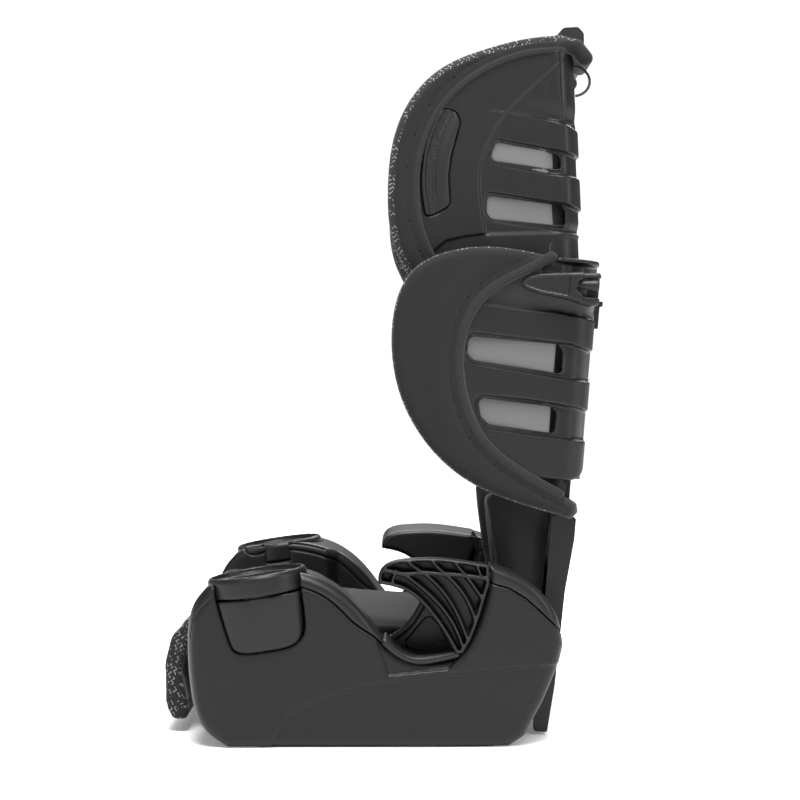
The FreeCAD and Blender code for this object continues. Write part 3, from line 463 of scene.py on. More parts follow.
# ---- materials
KNIT_PITCH = 1.3
FLECK_ROW = 2.5
FLECK_PITCH = 4.2
TWILL_PITCH = 3.2
RIDGE_PITCH = 2.1
CHARCOAL = (0.0058, 0.0056, 0.0064)
FLECK_GROUND = (0.012, 0.012, 0.013)
FLECK_GREYS = ((0.04, 0.04, 0.042), (0.42, 0.42, 0.43))
LINING_GREYS = ((0.07, 0.07, 0.071), (0.165, 0.165, 0.165))
# the cord's own dark grey, painted darker in the braid's grooves as shade and lighter on its strands as
# highlight
CORD_SHADE_AND_HIGHLIGHT_GREYS = ((0.008, 0.008, 0.008), (0.03, 0.03, 0.03))


class Finish:
    """A material whose nodes are made by short calls."""

    def __init__(self, name, roughness, specular=0.5, sheen=0.0, metallic=0.0):
        self.material = bpy.data.materials.new(name)
        self.material.use_nodes = True
        self.tree = self.material.node_tree
        self.surface = self.tree.nodes["Principled BSDF"]
        self.surface.inputs["Roughness"].default_value = roughness
        self.surface.inputs["Specular IOR Level"].default_value = specular
        self.surface.inputs["Sheen Weight"].default_value = sheen
        self.surface.inputs["Metallic"].default_value = metallic

    def node(self, kind, inputs, **settings):
        made = self.tree.nodes.new(kind)
        for key, value in settings.items():
            setattr(made, key, value)
        for key, value in inputs.items():
            if isinstance(value, bpy.types.NodeSocket):
                self.tree.links.new(value, made.inputs[key])
            else:
                made.inputs[key].default_value = value
        return made

    def math(self, operation, a, b=0.0):
        return self.node("ShaderNodeMath", {0: a, 1: b}, operation=operation).outputs[0]

    def times(self, a, b):
        return self.math("MULTIPLY", a, b)

    def noise(self, vector, scale, detail=2.0):
        made = self.node("ShaderNodeTexNoise", {"Vector": vector, "Scale": scale, "Detail": detail})
        return made.outputs["Fac"]

    def mix(self, factor, first, second):
        made = self.node("ShaderNodeMix", {0: factor}, data_type="RGBA")
        for socket, value in ((made.inputs[6], first), (made.inputs[7], second)):
            if isinstance(value, bpy.types.NodeSocket):
                self.tree.links.new(value, socket)
            else:
                socket.default_value = (*value, 1)
        return made.outputs[2]

    def between(self, value, low, high):
        return self.node("ShaderNodeMapRange", {0: value, 3: low, 4: high}).outputs[0]

    def place(self):
        """Coordinates in metres in the seat's own frame."""
        return self.node("ShaderNodeTexCoord", {}).outputs["Object"]

    def cloth(self):
        """Cloth coordinates: along, across and, above 0, the zone of the second cloth."""
        vector = self.node("ShaderNodeAttribute", {}, attribute_name="weave").outputs["Vector"]
        parts = self.node("ShaderNodeSeparateXYZ", {0: vector})
        return vector, parts.outputs[0], parts.outputs[1], parts.outputs[2]

    def colour(self, socket):
        self.tree.links.new(socket, self.surface.inputs["Base Color"])

    def rough(self, socket):
        self.tree.links.new(socket, self.surface.inputs["Roughness"])

    def bump(self, height, depth, strength=1.0):
        """Raises the surface by up to depth millimetres."""
        inputs = {"Height": height, "Distance": depth * MM, "Strength": strength}
        made = self.node("ShaderNodeBump", inputs)
        self.tree.links.new(made.outputs[0], self.surface.inputs["Normal"])


def scaled(colour, factor):
    return tuple(part * factor for part in colour)


def moulded(name, colour, roughness, grain):
    """Satin moulded plastic with a fine spark grain and slight unevenness."""
    finish = Finish(name, roughness, 0.25)
    place = finish.place()
    cloud = finish.noise(place, 9.0, 3.0)
    finish.colour(finish.mix(finish.between(cloud, 0.0, 1.0), scaled(colour, 0.88), scaled(colour, 1.12)))
    speck = finish.noise(place, 1400.0, 2.0)
    wide = finish.noise(place, 60.0, 2.0)
    finish.rough(finish.math("ADD", finish.between(wide, roughness - 0.05, roughness + 0.03),
                             finish.between(speck, -0.03, 0.03)))
    finish.bump(speck, grain)
    return finish.material


def knit_height(finish, along, across):
    """Small loops of a knitted cloth."""
    turn = 2 * math.pi / (KNIT_PITCH * MM)
    rows = finish.math("SINE", finish.times(along, turn))
    loop = finish.math("FLOOR", finish.times(along, 1 / (KNIT_PITCH * MM)))
    half = finish.times(loop, math.pi)
    loops = finish.math("SINE", finish.math("ADD", finish.times(across, turn), half))
    return finish.times(rows, loops)


def flecks(finish, along, across):
    """Zig-zag rows of short pale dashes; 1 on a dash."""
    rows = finish.math("DIVIDE", across, FLECK_ROW * MM)
    number = finish.math("FLOOR", rows)
    part = finish.math("FRACT", rows)
    lean = finish.math("SUBTRACT", finish.times(finish.math("PINGPONG", number, 1.0), 1.2), 0.6)
    slope = finish.times(lean, part)
    steps = finish.math("ADD", finish.math("DIVIDE", along, FLECK_PITCH * MM),
                        finish.math("ADD", finish.times(number, 0.37), slope))
    off = finish.math("ABSOLUTE", finish.math("SUBTRACT", finish.math("FRACT", steps), 0.5))
    return finish.math("LESS_THAN", off, 0.11)


def knit(name, colour, second=None):
    """Plain knit, and a flecked or lining cloth where the cloth coordinates ask for it."""
    finish = Finish(name, 0.85, 0.25, 0.12)
    vector, along, across, zone = finish.cloth()
    fuzz = finish.noise(vector, 900.0, 3.0)
    cloud = finish.noise(vector, 22.0, 2.0)
    height = knit_height(finish, along, across)
    shade = finish.math("ADD", finish.times(fuzz, 0.5), finish.times(cloud, 0.5))
    plain = finish.mix(shade, scaled(colour, 0.72), scaled(colour, 1.3))
    inside = finish.math("GREATER_THAN", zone, 0.0)
    if second == "flecks":
        dash = flecks(finish, along, across)
        drift = finish.math("GREATER_THAN", finish.noise(vector, 210.0, 1.0), 0.53)
        grey = finish.mix(cloud, *FLECK_GREYS)
        other = finish.mix(finish.times(dash, drift), FLECK_GROUND, grey)
        plain = finish.mix(inside, plain, other)
    elif second == "lining":
        slant = finish.math("ADD", along, finish.times(across, 2.2))
        twill = finish.math("SINE", finish.times(slant, 2 * math.pi / (TWILL_PITCH * MM)))
        other = finish.mix(finish.between(twill, 0.35, 0.65), *LINING_GREYS)
        plain = finish.mix(inside, plain, other)
    finish.colour(plain)
    finish.bump(finish.math("ADD", finish.times(height, 0.2), fuzz), 0.1, 0.5)
    return finish.material


def binding_cloth(name, colour):
    """Ribbed elastic binding: ridges run along it, with painted shade between them and a painted highlight
    on their crests.
    """
    finish = Finish(name, 0.8, 0.25, 0.1)
    vector, _, across, _ = finish.cloth()
    ridges = finish.math("SINE", finish.times(across, 2 * math.pi / (RIDGE_PITCH * MM)))
    fuzz = finish.noise(vector, 1100.0, 2.0)
    # painted shade and highlight: the binding's own colour darkens between the ridges and lightens on
    # their crests
    finish.colour(finish.mix(finish.between(ridges, 0.3, 0.7), scaled(colour, 0.6), scaled(colour, 1.35)))
    finish.bump(finish.math("ADD", ridges, finish.times(fuzz, 0.6)), 0.25, 0.8)
    return finish.material


def plated(name, colour):
    """Zinc-plated steel with fine scratches."""
    finish = Finish(name, 0.36, 0.5, 0.0, 1.0)
    place = finish.place()
    cloud = finish.noise(place, 300.0, 4.0)
    finish.colour(finish.mix(cloud, scaled(colour, 0.8), scaled(colour, 1.1)))
    finish.rough(finish.between(cloud, 0.28, 0.5))
    finish.bump(cloud, 0.01)
    return finish.material


def elastic_cord(name):
    """Braided elastic, with painted shade in the braid's grooves and a painted highlight on its strands.
    """
    finish = Finish(name, 0.75, 0.3, 0.1)
    place = finish.place()
    braid = finish.node("ShaderNodeTexWave", {"Vector": place, "Scale": 260.0, "Distortion": 1.5},
                        bands_direction="DIAGONAL").outputs["Fac"]
    # painted shade and highlight: the grey follows the braid's height, dark in the grooves and light on
    # the strands
    finish.colour(finish.mix(braid, *CORD_SHADE_AND_HIGHLIGHT_GREYS))
    finish.bump(braid, 0.15)
    return finish.material


STEEL = plated("zinc plated steel", (0.55, 0.55, 0.56))
ELASTIC = elastic_cord("elastic cord")
BINDING = binding_cloth("ribbed binding", (0.0125, 0.0122, 0.0135))
COVER_CLOTH = knit("charcoal knit with flecked edge", CHARCOAL, "flecks")
LOOKS = {  # the material of each slot, where a piece names no other
    "base_plastic": moulded("base plastic", (0.0065, 0.0065, 0.007), 0.46, 0.012),
    "trim_plastic": moulded("trim plastic", (0.011, 0.011, 0.0115), 0.38, 0.008),
    "cup_plastic": moulded("cup plastic", (0.009, 0.009, 0.0095), 0.40, 0.008),
    "shell_plastic": moulded("shell plastic", (0.009, 0.009, 0.0098), 0.40, 0.010),
    "insert_plastic": moulded("insert plastic", (0.011, 0.011, 0.0115), 0.42, 0.010),
    "latch_plastic": moulded("latch plastic", (0.03, 0.03, 0.032), 0.40, 0.008),
    "wing_fabric": COVER_CLOTH,
    "pattern_fabric": COVER_CLOTH,
    "lining_fabric": knit("charcoal knit with grey lining", CHARCOAL, "lining"),
    "seat_fabric": knit("seat knit", scaled(CHARCOAL, 1.25))}


# ---- backrest
TORSO_LINE = rounded(TORSO_PLAN, closed=False)
TORSO_AREA = joined(smooth(TORSO_EDGE), TORSO_TAIL[:4], [(165, 240), (300, 260), (300, 600), (118, 600)])
TORSO_BARE = joined(smooth(TORSO_HEM), TORSO_TAIL[3::-1], [(300, 216), (300, 600), (120, 600)])
TORSO_REAR = rounded([(-200, 456.5, 0), (BACK_Y + 0.3, 456.5, 3), (BACK_Y + 0.3, 247, 14), (112, 247, 0),
                      (60, 190, 0), (-200, 190, 0)])


def channel_depth(outlines, slots, y, z, grow, depths):
    """Depth of the sunk channels around the slots: deeper towards the back."""
    front, rear = depths
    depth = 0.0
    for outline, slot in zip(outlines, slots):
        inside = ramp(-within(outline, y, z) + grow, -0.4, 1.9)
        lip = 1.0 - ramp(within(slot, y, z) + grow, 0.8, 2.2)
        fall = front + (rear - front) * ramp(y, 70, 152)
        depth = depth + inside * (fall - (SLOT_LIP - grow * 0.37) * lip)
    return depth


def torso_relief(y, z, grow):
    """How far the torso's side is sunk: in its channels, above its rib and in the flange's cavity."""
    above, _ = beside(RIB_A, y, z)
    step = ramp(above + grow, -0.6, 1.2)
    shoulder = step * (1.4 + 4.4 * ramp(y, 60, 150)) * (1 - ramp(above, 3, 24))
    cavity = (3 + 5 * ramp(y, 130, 142)) * ramp(-within(FLANGE_CAVITY, y, z) + grow, -0.5, 1.5)
    channels = channel_depth(TORSO_CHANNELS, TORSO_SLOTS, y, z, grow, TORSO_CHANNEL_DEPTH)
    return np.maximum(channels + shoulder, cavity)


def torso_shell(x, y, z):
    side = np.abs(x)
    w, _ = beside(TORSO_LINE, side, y)
    bound = both(region(TORSO_AREA, y, z) + ROLL, region(TORSO_REAR, y, z), 3)
    turn = ramp(side, 112, 140)
    panel = 1.6 * ramp(-within(REAR_PANEL, side, z), 0, 3) * ramp(y, 120, 140)
    outer = w + torso_relief(y, z, 0.0) * turn + panel
    inner = w + WALL + torso_relief(y, z, RELIEF_GROW) * turn + panel
    wall = both(both(outer, -inner, 0.6), bound, 1.2)
    for slot in TORSO_SLOTS:
        wall = cut(wall, within(slot, y, z), TORSO_SPLIT - side)
    middle = np.maximum(side - CHANNEL_HALF, 252 - z)
    above = np.maximum(side - CHANNEL_HALF - 16, 446 - z)
    wall = cut(wall, np.minimum(middle, above), 140 - y)
    channel = both(side - CHANNEL_HALF - WALL, slab(y, CHANNEL_FRONT, BACK_Y), 1)
    channel = both(channel, slab(z, 248, 446), 1)
    channel = cut(channel, middle, CHANNEL_FRONT + WALL - y)
    window = np.maximum(side - 14, slab(z, 288, 437))
    return np.minimum(wall, cut(channel, window, 140 - y))


def middle_of(shell, split):
    return lambda x, y, z: np.maximum(shell(x, y, z), np.abs(x) - (split - SPLIT_GAP))


def wing_of(shell, split):
    return lambda x, y, z: np.maximum(shell(x, y, z), split - x)


def cover_cloth(w, edge, bare, seam, stitch, puff):
    """Cloth rolled round a wing's edge, with a stitched seam beside its hem and a padded band beyond."""
    stitch_depth, stitch_end = stitch
    height, band = puff
    dent = stitch_depth * (1 - ramp(np.abs(bare - seam), 0.4, stitch_end)) * (w > -2)
    bulge = height * np.sin(np.clip(bare - seam, 0, band) / band * math.pi) * (w > -COVER_MIDDLE)
    across = np.abs(w + COVER_MIDDLE - bulge / 2 + dent / 2) - COVER_HALF - bulge / 2 + dent / 2
    pocket = both(edge + CLOTH, np.abs(w + COVER_MIDDLE) - (COVER_HALF - CLOTH), 6.5)
    return cut(cut(both(edge, across, COVER_EDGE), pocket), bare, -(w + COVER_MIDDLE))


def torso_cover(x, y, z):
    w, _ = beside(TORSO_LINE, x, y)
    cloth = cover_cloth(w, region(TORSO_AREA, y, z), region(TORSO_BARE, y, z), seam=9.5,
                        stitch=(0.9, 1.6), puff=(1.1, 24))
    cloth = np.maximum(cut(cloth, 120 - y, 436 - z), COVER_IN - x)
    return np.maximum(cloth, np.where(w < -COVER_MIDDLE, y - 128, -1))


def torso_wing_pad(x, y, z):
    w, _ = beside(TORSO_LINE, x, y)
    bound = both(region(TORSO_AREA, y, z) + PAD_INSET, region(TORSO_REAR, y, z) + PAD_INSET, 5)
    sag = PAD_SAG * np.sin(z / 19.0) * np.sin(y / 23.0)
    pad = both(both(w + sag + 6.8, -PAD_DEPTH - w, 2), both(bound, y - 132, 4), 3.5)
    return cut(np.maximum(pad, PAD_IN - x), 102 - y, 434 - z)


def hem_tube(hem, plan, half_width, half_height):
    """A flat tube along a hem, on the outside of a wing."""
    def field(x, y, z):
        w, _ = beside(plan, x, y)
        away = distance_to(hem, y, z)
        return (np.hypot(away / half_width, (w - 1.6) / half_height) - 1) * half_height
    return field


def edge_weave(edge, plan, split, deep):
    """Along and across a wing's edge; the second cloth starts at split outside and at deep inside."""
    def coordinates(points):
        w, _ = beside(plan, points[:, 0], points[:, 1])
        away, along = beside(edge, points[:, 1], points[:, 2])
        across = np.abs(away)
        return along, across - np.minimum(w, 0) * 1.1, np.maximum(split - across, deep - w)
    return coordinates


def hem_weave(hem, plan):
    """Along and across a hem's binding, with no second cloth."""
    def coordinates(points):
        w, _ = beside(plan, points[:, 0], points[:, 1])
        away, along = beside(hem, points[:, 1], points[:, 2])
        return along, away + w * 0.3, np.full(len(points), -1.0)
    return coordinates


def lining_weave(plan):
    """Along the plan and up a wing pad, with the lining on its outer face."""
    def coordinates(points):
        w, along = beside(plan, points[:, 0], points[:, 1])
        return along, points[:, 2], w + 9.0
    return coordinates


def belt_guide(x, y, z):
    outer = 167 + (y - 92) * 0.2 * (y < 150)
    boss = within(BELT_BOSS, y, z)
    body = both(boss, slab(x, 148, outer), 3.5)
    body = cut(body, both(within(BELT_MOUTH, y, z), 152 - x, 1.5))
    body = cut(body, boss + 3.2, outer - 1.3 - x, y - 138)
    thick = 3.4 + 2.4 * ramp(y, 147, 166)
    tongue = both(np.hypot((x - 167) / 0.7, z - 431.5) - thick, slab(y, 138, 166.5), 1.5)
    return either(body, tongue * 0.8, 1.0)


def build_backrest():
    edge = smooth(TORSO_EDGE)
    hem = smooth(TORSO_HEM)
    form("torso_shell_middle", middle_of(torso_shell, TORSO_SPLIT), (-100, 130, 240), (100, 170, 460), 2.0,
         "backrest", "shell_plastic", "torso_shell")
    form_pair("torso_shell_wing", wing_of(torso_shell, TORSO_SPLIT), (100, 8, 214), (200, 170, 460), 1.25,
              "backrest", "shell_plastic")
    form_pair("torso_cover", torso_cover, (126, -36, 205), (222, 170, 466), 1.6, "backrest", "wing_fabric",
              "torso_cover", edge_weave(edge, TORSO_LINE, 1.6, -8.0))
    form_pair("wing_cushion", torso_wing_pad, (128, -30, 212), (214, 166, 458), 2.4, "backrest",
              "lining_fabric", "wing_pad", lining_weave(TORSO_LINE), fill=0.5)
    form_pair("torso_binding", hem_tube(hem, TORSO_LINE, 5.2, 2.9), (126, -10, 225), (212, 160, 464), 1.1,
              "backrest", "wing_fabric", "", hem_weave(hem, TORSO_LINE), material=BINDING)
    form_pair("shoulder_belt_guide", belt_guide, (146, 86, 408), (184, 172, 448), 0.9, "backrest",
              "insert_plastic", "shoulder_guide")


# ---- headrest
HEAD_LINE = rounded(HEAD_PLAN, closed=False)
HEAD_AREA = joined(smooth(HEAD_EDGE), [(12, 430), (300, 420), (300, 700), (151, 700)])
HEAD_BARE = joined(smooth(HEAD_HEM), [(60, 430), (300, 420), (300, 720), (151, 720)])
HEAD_REAR = rounded([(-200, 664, 0), (160, 660, 6), (159, 447, 10), (-200, 447, 0)])


def head_relief(y, z, grow):
    """How far the headrest's side is sunk: behind a crease, above a rib, below a flange, in channels."""
    crease, _ = beside(smooth(HEAD_CREASE), y, z)
    behind = 2.0 * ramp(crease + grow, -0.6, 2.4) * ramp(z, 483, 487)
    rib, _ = beside(HEAD_RIB, y, z)
    step = ramp(rib + grow, -0.8, 1.4) * (0.8 + 3.4 * ramp(y, 84, 140)) * (1 - ramp(rib, 3, 22))
    strip = 2.6 * ramp(y, 137.5, 139.5) * ramp(z, 588, 594)
    low = 2.5 * ramp(-beside(HEAD_FLANGE, y, z)[0] + grow, -0.5, 1.5) * ramp(-y, -62, -56)
    channels = channel_depth(HEAD_CHANNELS, HEAD_SLOTS, y, z, grow, HEAD_CHANNEL_DEPTH)
    return behind + step + strip + low + channels


def headrest_shell(x, y, z):
    side = np.abs(x)
    w, _ = beside(HEAD_LINE, side, y)
    w = w - HEAD_CORNER_OUT * ramp(side, 82, 100) * ramp(y, 122, 144) * ramp(z, 476, 496)
    bound = both(region(HEAD_AREA, y, z) + ROLL, region(HEAD_REAR, y, z), 3)
    turn = ramp(side, 84, 112)
    seat = ramp(-within(INSERT, y, z), -1.2, 0.0)
    outer = w + head_relief(y, z, 0.0) * turn + seat * 2.0
    inner = w + WALL + head_relief(y, z, RELIEF_GROW) * turn + seat * 2.0
    wall = both(both(outer, -inner, 0.6), bound, 1.2)
    for slot in HEAD_SLOTS:
        wall = cut(wall, within(slot, y, z), HEAD_SPLIT - side)
    return wall


def headrest_cover(x, y, z):
    side = np.abs(x)
    w, _ = beside(HEAD_LINE, side, y)
    cloth = cover_cloth(w, region(HEAD_AREA, y, z), region(HEAD_BARE, y, z), seam=9.0,
                        stitch=(0.8, 1.5), puff=(1.0, 16))
    cloth = cut(cloth, side - HUMP_HALF - 2, 143.5 - y, 600 - z)
    cloth = np.maximum(cloth, np.where((w < -COVER_MIDDLE) & (z < 640), y - 118, -1))
    end = distance_to(COVER_END, y, z) - 7.5
    return either(cloth, both(end, slab(side, 46, 122), 7), 3)


def head_wing_pad(x, y, z):
    side = np.abs(x)
    w, _ = beside(HEAD_LINE, side, y)
    bound = both(region(HEAD_AREA, y, z) + PAD_INSET, region(HEAD_REAR, y, z) + PAD_INSET, 5)
    sag = PAD_SAG * np.sin(z / 17.0) * np.sin((y + side) / 21.0)
    face = w + sag + 6.6 + 4 * ramp(y, 120, 132) * ramp(side, 80, 110)
    return both(both(face, -PAD_DEPTH - w, 2), bound, 3.5)


def insert_field(x, y, z):
    """The insert's domed plate, with a ridge and a hatched strip along its front."""
    w, _ = beside(HEAD_LINE, x, y)
    area = within(INSERT, y, z)
    front, along = beside(smooth(INSERT_FRONT), y, z)
    front = np.abs(front)
    ridge = 1.6 * (1 - ramp(front, 3.5, 4.6))
    hatch = ramp(front, 4.6, 5.4) * (1 - ramp(front, 10.6, 11.4))
    teeth = 0.75 * np.maximum(np.sin((along + front * 1.2) * 2 * math.pi / 3.3), -0.3) * hatch
    groove = 0.9 * (1 - ramp(np.abs(front - 13), 0.4, 1.2))
    bulge = 1.0 * np.sin(np.clip((front - 14) / 14, 0, 1) * math.pi)
    top = 1.9 + ridge + teeth - groove + 1.6 * bulge - 1.2 * hatch
    return both(slab(w, -1.6, top), area + 0.5, 0.9)


def both_wings(coordinates):
    """Cloth coordinates made for the left wing, used on both."""
    return lambda points: coordinates(np.abs(points) * (1, 0, 0) + points * (0, 1, 1))


def build_headrest():
    edge = smooth(HEAD_EDGE)
    hem = smooth(HEAD_HEM)
    form("headrest_shell_middle", middle_of(headrest_shell, HEAD_SPLIT), (-80, 130, 440), (80, 158, 666),
         1.8, "headrest", "shell_plastic", "headrest_shell")
    form_pair("headrest_shell_wing", wing_of(headrest_shell, HEAD_SPLIT), (80, -24, 440), (172, 164, 666),
              1.15, "headrest", "shell_plastic")
    form("headrest_cover_form", headrest_cover, (-190, -45, 438), (190, 174, 682), 1.7, "headrest",
         "wing_fabric", "headrest_cover", both_wings(edge_weave(edge, HEAD_LINE, 6.5, -8.0)))
    form("head_cushion", head_wing_pad, (-178, -40, 440), (178, 152, 670), 2.4, "headrest",
         "lining_fabric", "head_pad", both_wings(lining_weave(HEAD_LINE)), fill=0.5)
    form_pair("headrest_binding", hem_tube(hem, HEAD_LINE, 3.6, 2.2), (44, -14, 438), (190, 158, 668), 1.1,
              "headrest", "wing_fabric", "", hem_weave(hem, HEAD_LINE), material=BINDING)
    form_pair("headrest_insert_form", insert_field, (130, -8, 498), (190, 46, 612), 0.7, "headrest",
              "insert_plastic", "headrest_insert")


# ---- base
POD_LINE = rounded(POD_PLAN, closed=False)
POD = joined(smooth(POD_FRONT), POD_REAR, smooth(REAR_ARCH), smooth(POD_TOP))
FIN = joined(smooth(FIN_TIP), smooth(FIN_CROWN), FIN_LINE, smooth(FIN_BELOW))
CUP_SEAM = [(-164, 160), (-162, 140), (-154, 112), (-149, 97.5), (-144.5, 90.2), (-138, 88), (-124, 88.6),
            (-102.5, 92), (-87, 97.4), (-80.6, 106), (-79.6, 114.4), (-83.4, 147), (-85, 170)]


def pod_body(x, y, z, sink=0.0):
    """The solid outline of a pod, with its outer side sunk by sink."""
    side = -beside(POD_LINE, x, y)[0]
    inner = POD_IN - LINING_STEP + (POD_IN_FRONT - POD_IN) * ramp(-y, -POD_STEP_Y - 16, -POD_STEP_Y - 2)
    fall = POD_FALL * (POD_OUT - x) / (POD_OUT - POD_IN) * ramp(z, 70, 100) * ramp(y, -165, -125)
    return both(both(side + sink, region(POD, y, z) + fall, 9), inner - x, 7)


def cup_radius(x, y, z, power):
    """Distance from the cup's axis, and height along it from the rim."""
    up = (y - CUP_TOP[1]) * CUP_AXIS.y + (z - CUP_TOP[2]) * CUP_AXIS.z
    across = (y - CUP_TOP[1]) * CUP_AXIS.z - (z - CUP_TOP[2]) * CUP_AXIS.y
    return (np.abs(x - CUP_TOP[0]) ** power + np.abs(across) ** power) ** (1 / power), up


def cup_room(x, y, z):
    """Room for the cup's rim and barrel in the pod."""
    r, up = cup_radius(x, y, z, 2)
    barrel = both(both(r - 41.2, -up - CUP_DEPTH - 2, 2), x - 176, 1)
    return np.minimum(both(r - CUP_RIM_R - 1.0, -up - 20, 1), barrel)


def cup_gate(y, z):
    """The opening in the pod's side that the cup's apron fills."""
    return region(joined(smooth(CUP_SEAM), [(-85, 230), (-164, 230)]), y, z)


def pod_sink(y, z):
    """Depth of the lower field, the saddle's field and the seam in the panel's side."""
    below, _ = beside(smooth(RECESS_LINE), y, z)
    lower = RECESS * ramp(below, -0.7, 0.9)
    saddle = SADDLE_RECESS * ramp(-within(SADDLE_SINK, y, z), -0.6, 1.0)
    seam = 1.3 * (1 - ramp(distance_to(FRONT_SEAM, y, z), 0.4, 1.2))
    return lower + saddle + seam


def rail_height(y):
    """The front rail narrows to its rear end."""
    return RAIL_HEIGHT - 8 * ramp(y, -40, -6)


def side_panel(x, y, z):
    body = pod_body(x, y, z, pod_sink(y, z))
    wall = both(body, -(pod_body(x, y, z) + PANEL_WALL + 2.6), 0.6)
    wall = np.maximum(wall, rail_height(y) + 2 * SEAM - distance_to(smooth(RAIL_LINE), y, z))
    wall = np.maximum(wall, beside(ARCH_LINE, y, z)[0] + 2 * SEAM)
    return cut(cut(wall, cup_gate(y, z) - SEAM, GATE_X - x), cup_room(x, y, z))


def front_rail(x, y, z):
    body = pod_body(x, y, z, -0.7)
    wall = both(body, -(body + 4.5), 0.8)
    wall = both(wall, distance_to(smooth(RAIL_LINE), y, z) - rail_height(y), 1.4)
    return cut(cut(wall, cup_gate(y, z) - SEAM, GATE_X - x), cup_room(x, y, z))


def fin_cells(y, z):
    """Negative in the cells: the fin's inside, less its shelf and ribs."""
    ribs = distance_to(FIN_SHELF, y, z) - FIN_SHELF_HALF
    for rib in FIN_RIBS:
        ribs = np.minimum(ribs, distance_to(smooth(rib), y, z) - FIN_RIB_HALF)
    return both(region(FIN, y, z) + FIN_RIM, -ribs, 1.6)


def armrest(x, y, z):
    fall = ARM_FALL * (ARM_OUT - x) / (ARM_OUT - ARM_IN) * ramp(z, 154, 170)
    area = region(FIN, y, z) + fall
    cells = both(fin_cells(y, z), (ARM_OUT - ARM_CELL) - x, 2.5)
    fin = both(both(area, slab(x, ARM_IN, ARM_OUT), 5), -cells, 0.7)
    body = pod_body(x, y, z)
    arch = both(both(body, -(body + 5), 0.8), -beside(ARCH_LINE, y, z)[0], 1.2)
    return np.minimum(fin, np.maximum(arch, 0.8 - area))


def lap_belt_guide(x, y, z):
    saddle = distance_to(smooth(SADDLE), y, z)
    bar = both(saddle - 3.2, slab(x, 184, 199.8), 2.8)
    floor = both(saddle - 2.2, slab(x, 140, 200), 1.5)
    cheek_area = joined(smooth(CHEEK_LIP), [(58, 112), (66, 88), (40, 78), (8, 82)])
    cheek = both(region(cheek_area, y, z), slab(x, 139, 146), 1.6)
    lip = np.hypot(distance_to(smooth(CHEEK_LIP), y, z), x - 144.5) - 3.2
    cheek = cut(either(cheek, lip, 1.5), within(CHEEK_POCKET, y, z), 143 - x)
    return np.minimum(either(bar, floor, 2.0), cheek)


def cup(x, y, z):
    """A round rim and barrel, and a squarer apron that fills the opening in the pod's side."""
    r, up = cup_radius(x, y, z, 2)
    r4, _ = cup_radius(CUP_TOP[0] + (x - CUP_TOP[0]) * 1.07, y, z, 4)
    taper = 43.0 + np.clip(up + 18, -60, 0) * 0.06
    low = 39.0 + np.clip(up + 18, -60, 0) * CUP_TAPER
    rim = both(both(r - CUP_RIM_R, up - 2, 6.0), -18 - up, 1.4)
    apron = both(both(r4 - taper, cup_gate(y, z) + 0.2, 3.0), np.maximum(up + 19.8, 165 - x), 0.8)
    barrel = both(r - low, slab(up, -CUP_DEPTH, -10), 8)
    solid = either(rim, np.minimum(apron, barrel), 1.2)
    bore = both(r - low + CUP_WALL, -(up + CUP_DEPTH - 3.2), 6)
    mouth = both(r - 42.5, -(up + 3.5), 2.0)
    return both(both(solid, -bore, 1.0), -mouth, 1.6)


def seat_flap(x, y, z):
    fold = 0.9 * np.sin(x / 17.0 + z / 30.0) + 0.6 * np.sin(x / 7.5 - z / 21.0)
    cuff = 0.9 * (1 - ramp(np.abs(z - 26), 0.5, 2.0))
    face = within(FLAP, y, z) + fold * 0.5 * ramp(z, 20, 60) + cuff
    return both(face, np.abs(x) - FLAP_HALF, 3.5)


def flap_weave(points):
    return points[:, 0] + points[:, 1], points[:, 2] + points[:, 1] * 0.4, np.full(len(points), 1.0)


def build_base():
    form_pair("side_panel_form", side_panel, (116, -194, 0), (204, 170, 176), 1.45, "base", "base_plastic",
              "side_panel")
    form_pair("front_rail_form", front_rail, (116, -194, 78), (206, 12, 172), 1.1, "base", "trim_plastic",
              "front_rail")
    form_pair("armrest_form", armrest, (136, -16, 84), (208, 172, 182), 1.15, "base", "trim_plastic",
              "armrest")
    form_pair("lap_belt_guide_form", lap_belt_guide, (136, -20, 72), (206, 72, 138), 0.95, "base",
              "trim_plastic", "lap_belt_guide")
    form_pair("cup_holder_form", cup, (118, -180, 72), (218, -70, 172), 1.2, "cup", "cup_plastic",
              "cup_holder")
    form("seat_flap_form", seat_flap, (-122, -222, 0), (122, -184, 116), 1.7, "base", "pattern_fabric",
         "seat_flap", flap_weave, fill=0.3)


# ---- stuffed pads
PAD_SHRINK = 0.985  # a pad starts a little smaller than its CAD solid, because it swells
PAD_VOXEL = 5.0
PAD_CAP = 5.0  # no point moves further than this
PAD_FRAMES = 20
CUSHION_HALF = 136.0


def cushion_copy(node_name, name):
    """A copy of a CAD pad, a little smaller than it."""
    made = add_object(name, NODES[node_name].data.copy())
    made.data.materials.clear()
    low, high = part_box(node_name)
    centre = (Vector(low) + Vector(high)) / 2
    for vertex in made.data.vertices:
        vertex.co = centre + (vertex.co - centre) * PAD_SHRINK
    return made


def apply_all(made):
    seen = bpy.context.evaluated_depsgraph_get()
    mesh = bpy.data.meshes.new_from_object(made.evaluated_get(seen))
    made.modifiers.clear()
    made.data = mesh


def places_of(made):
    places = np.empty(len(made.data.vertices) * 3)
    made.data.vertices.foreach_get("co", places)
    return places.reshape(-1, 3)


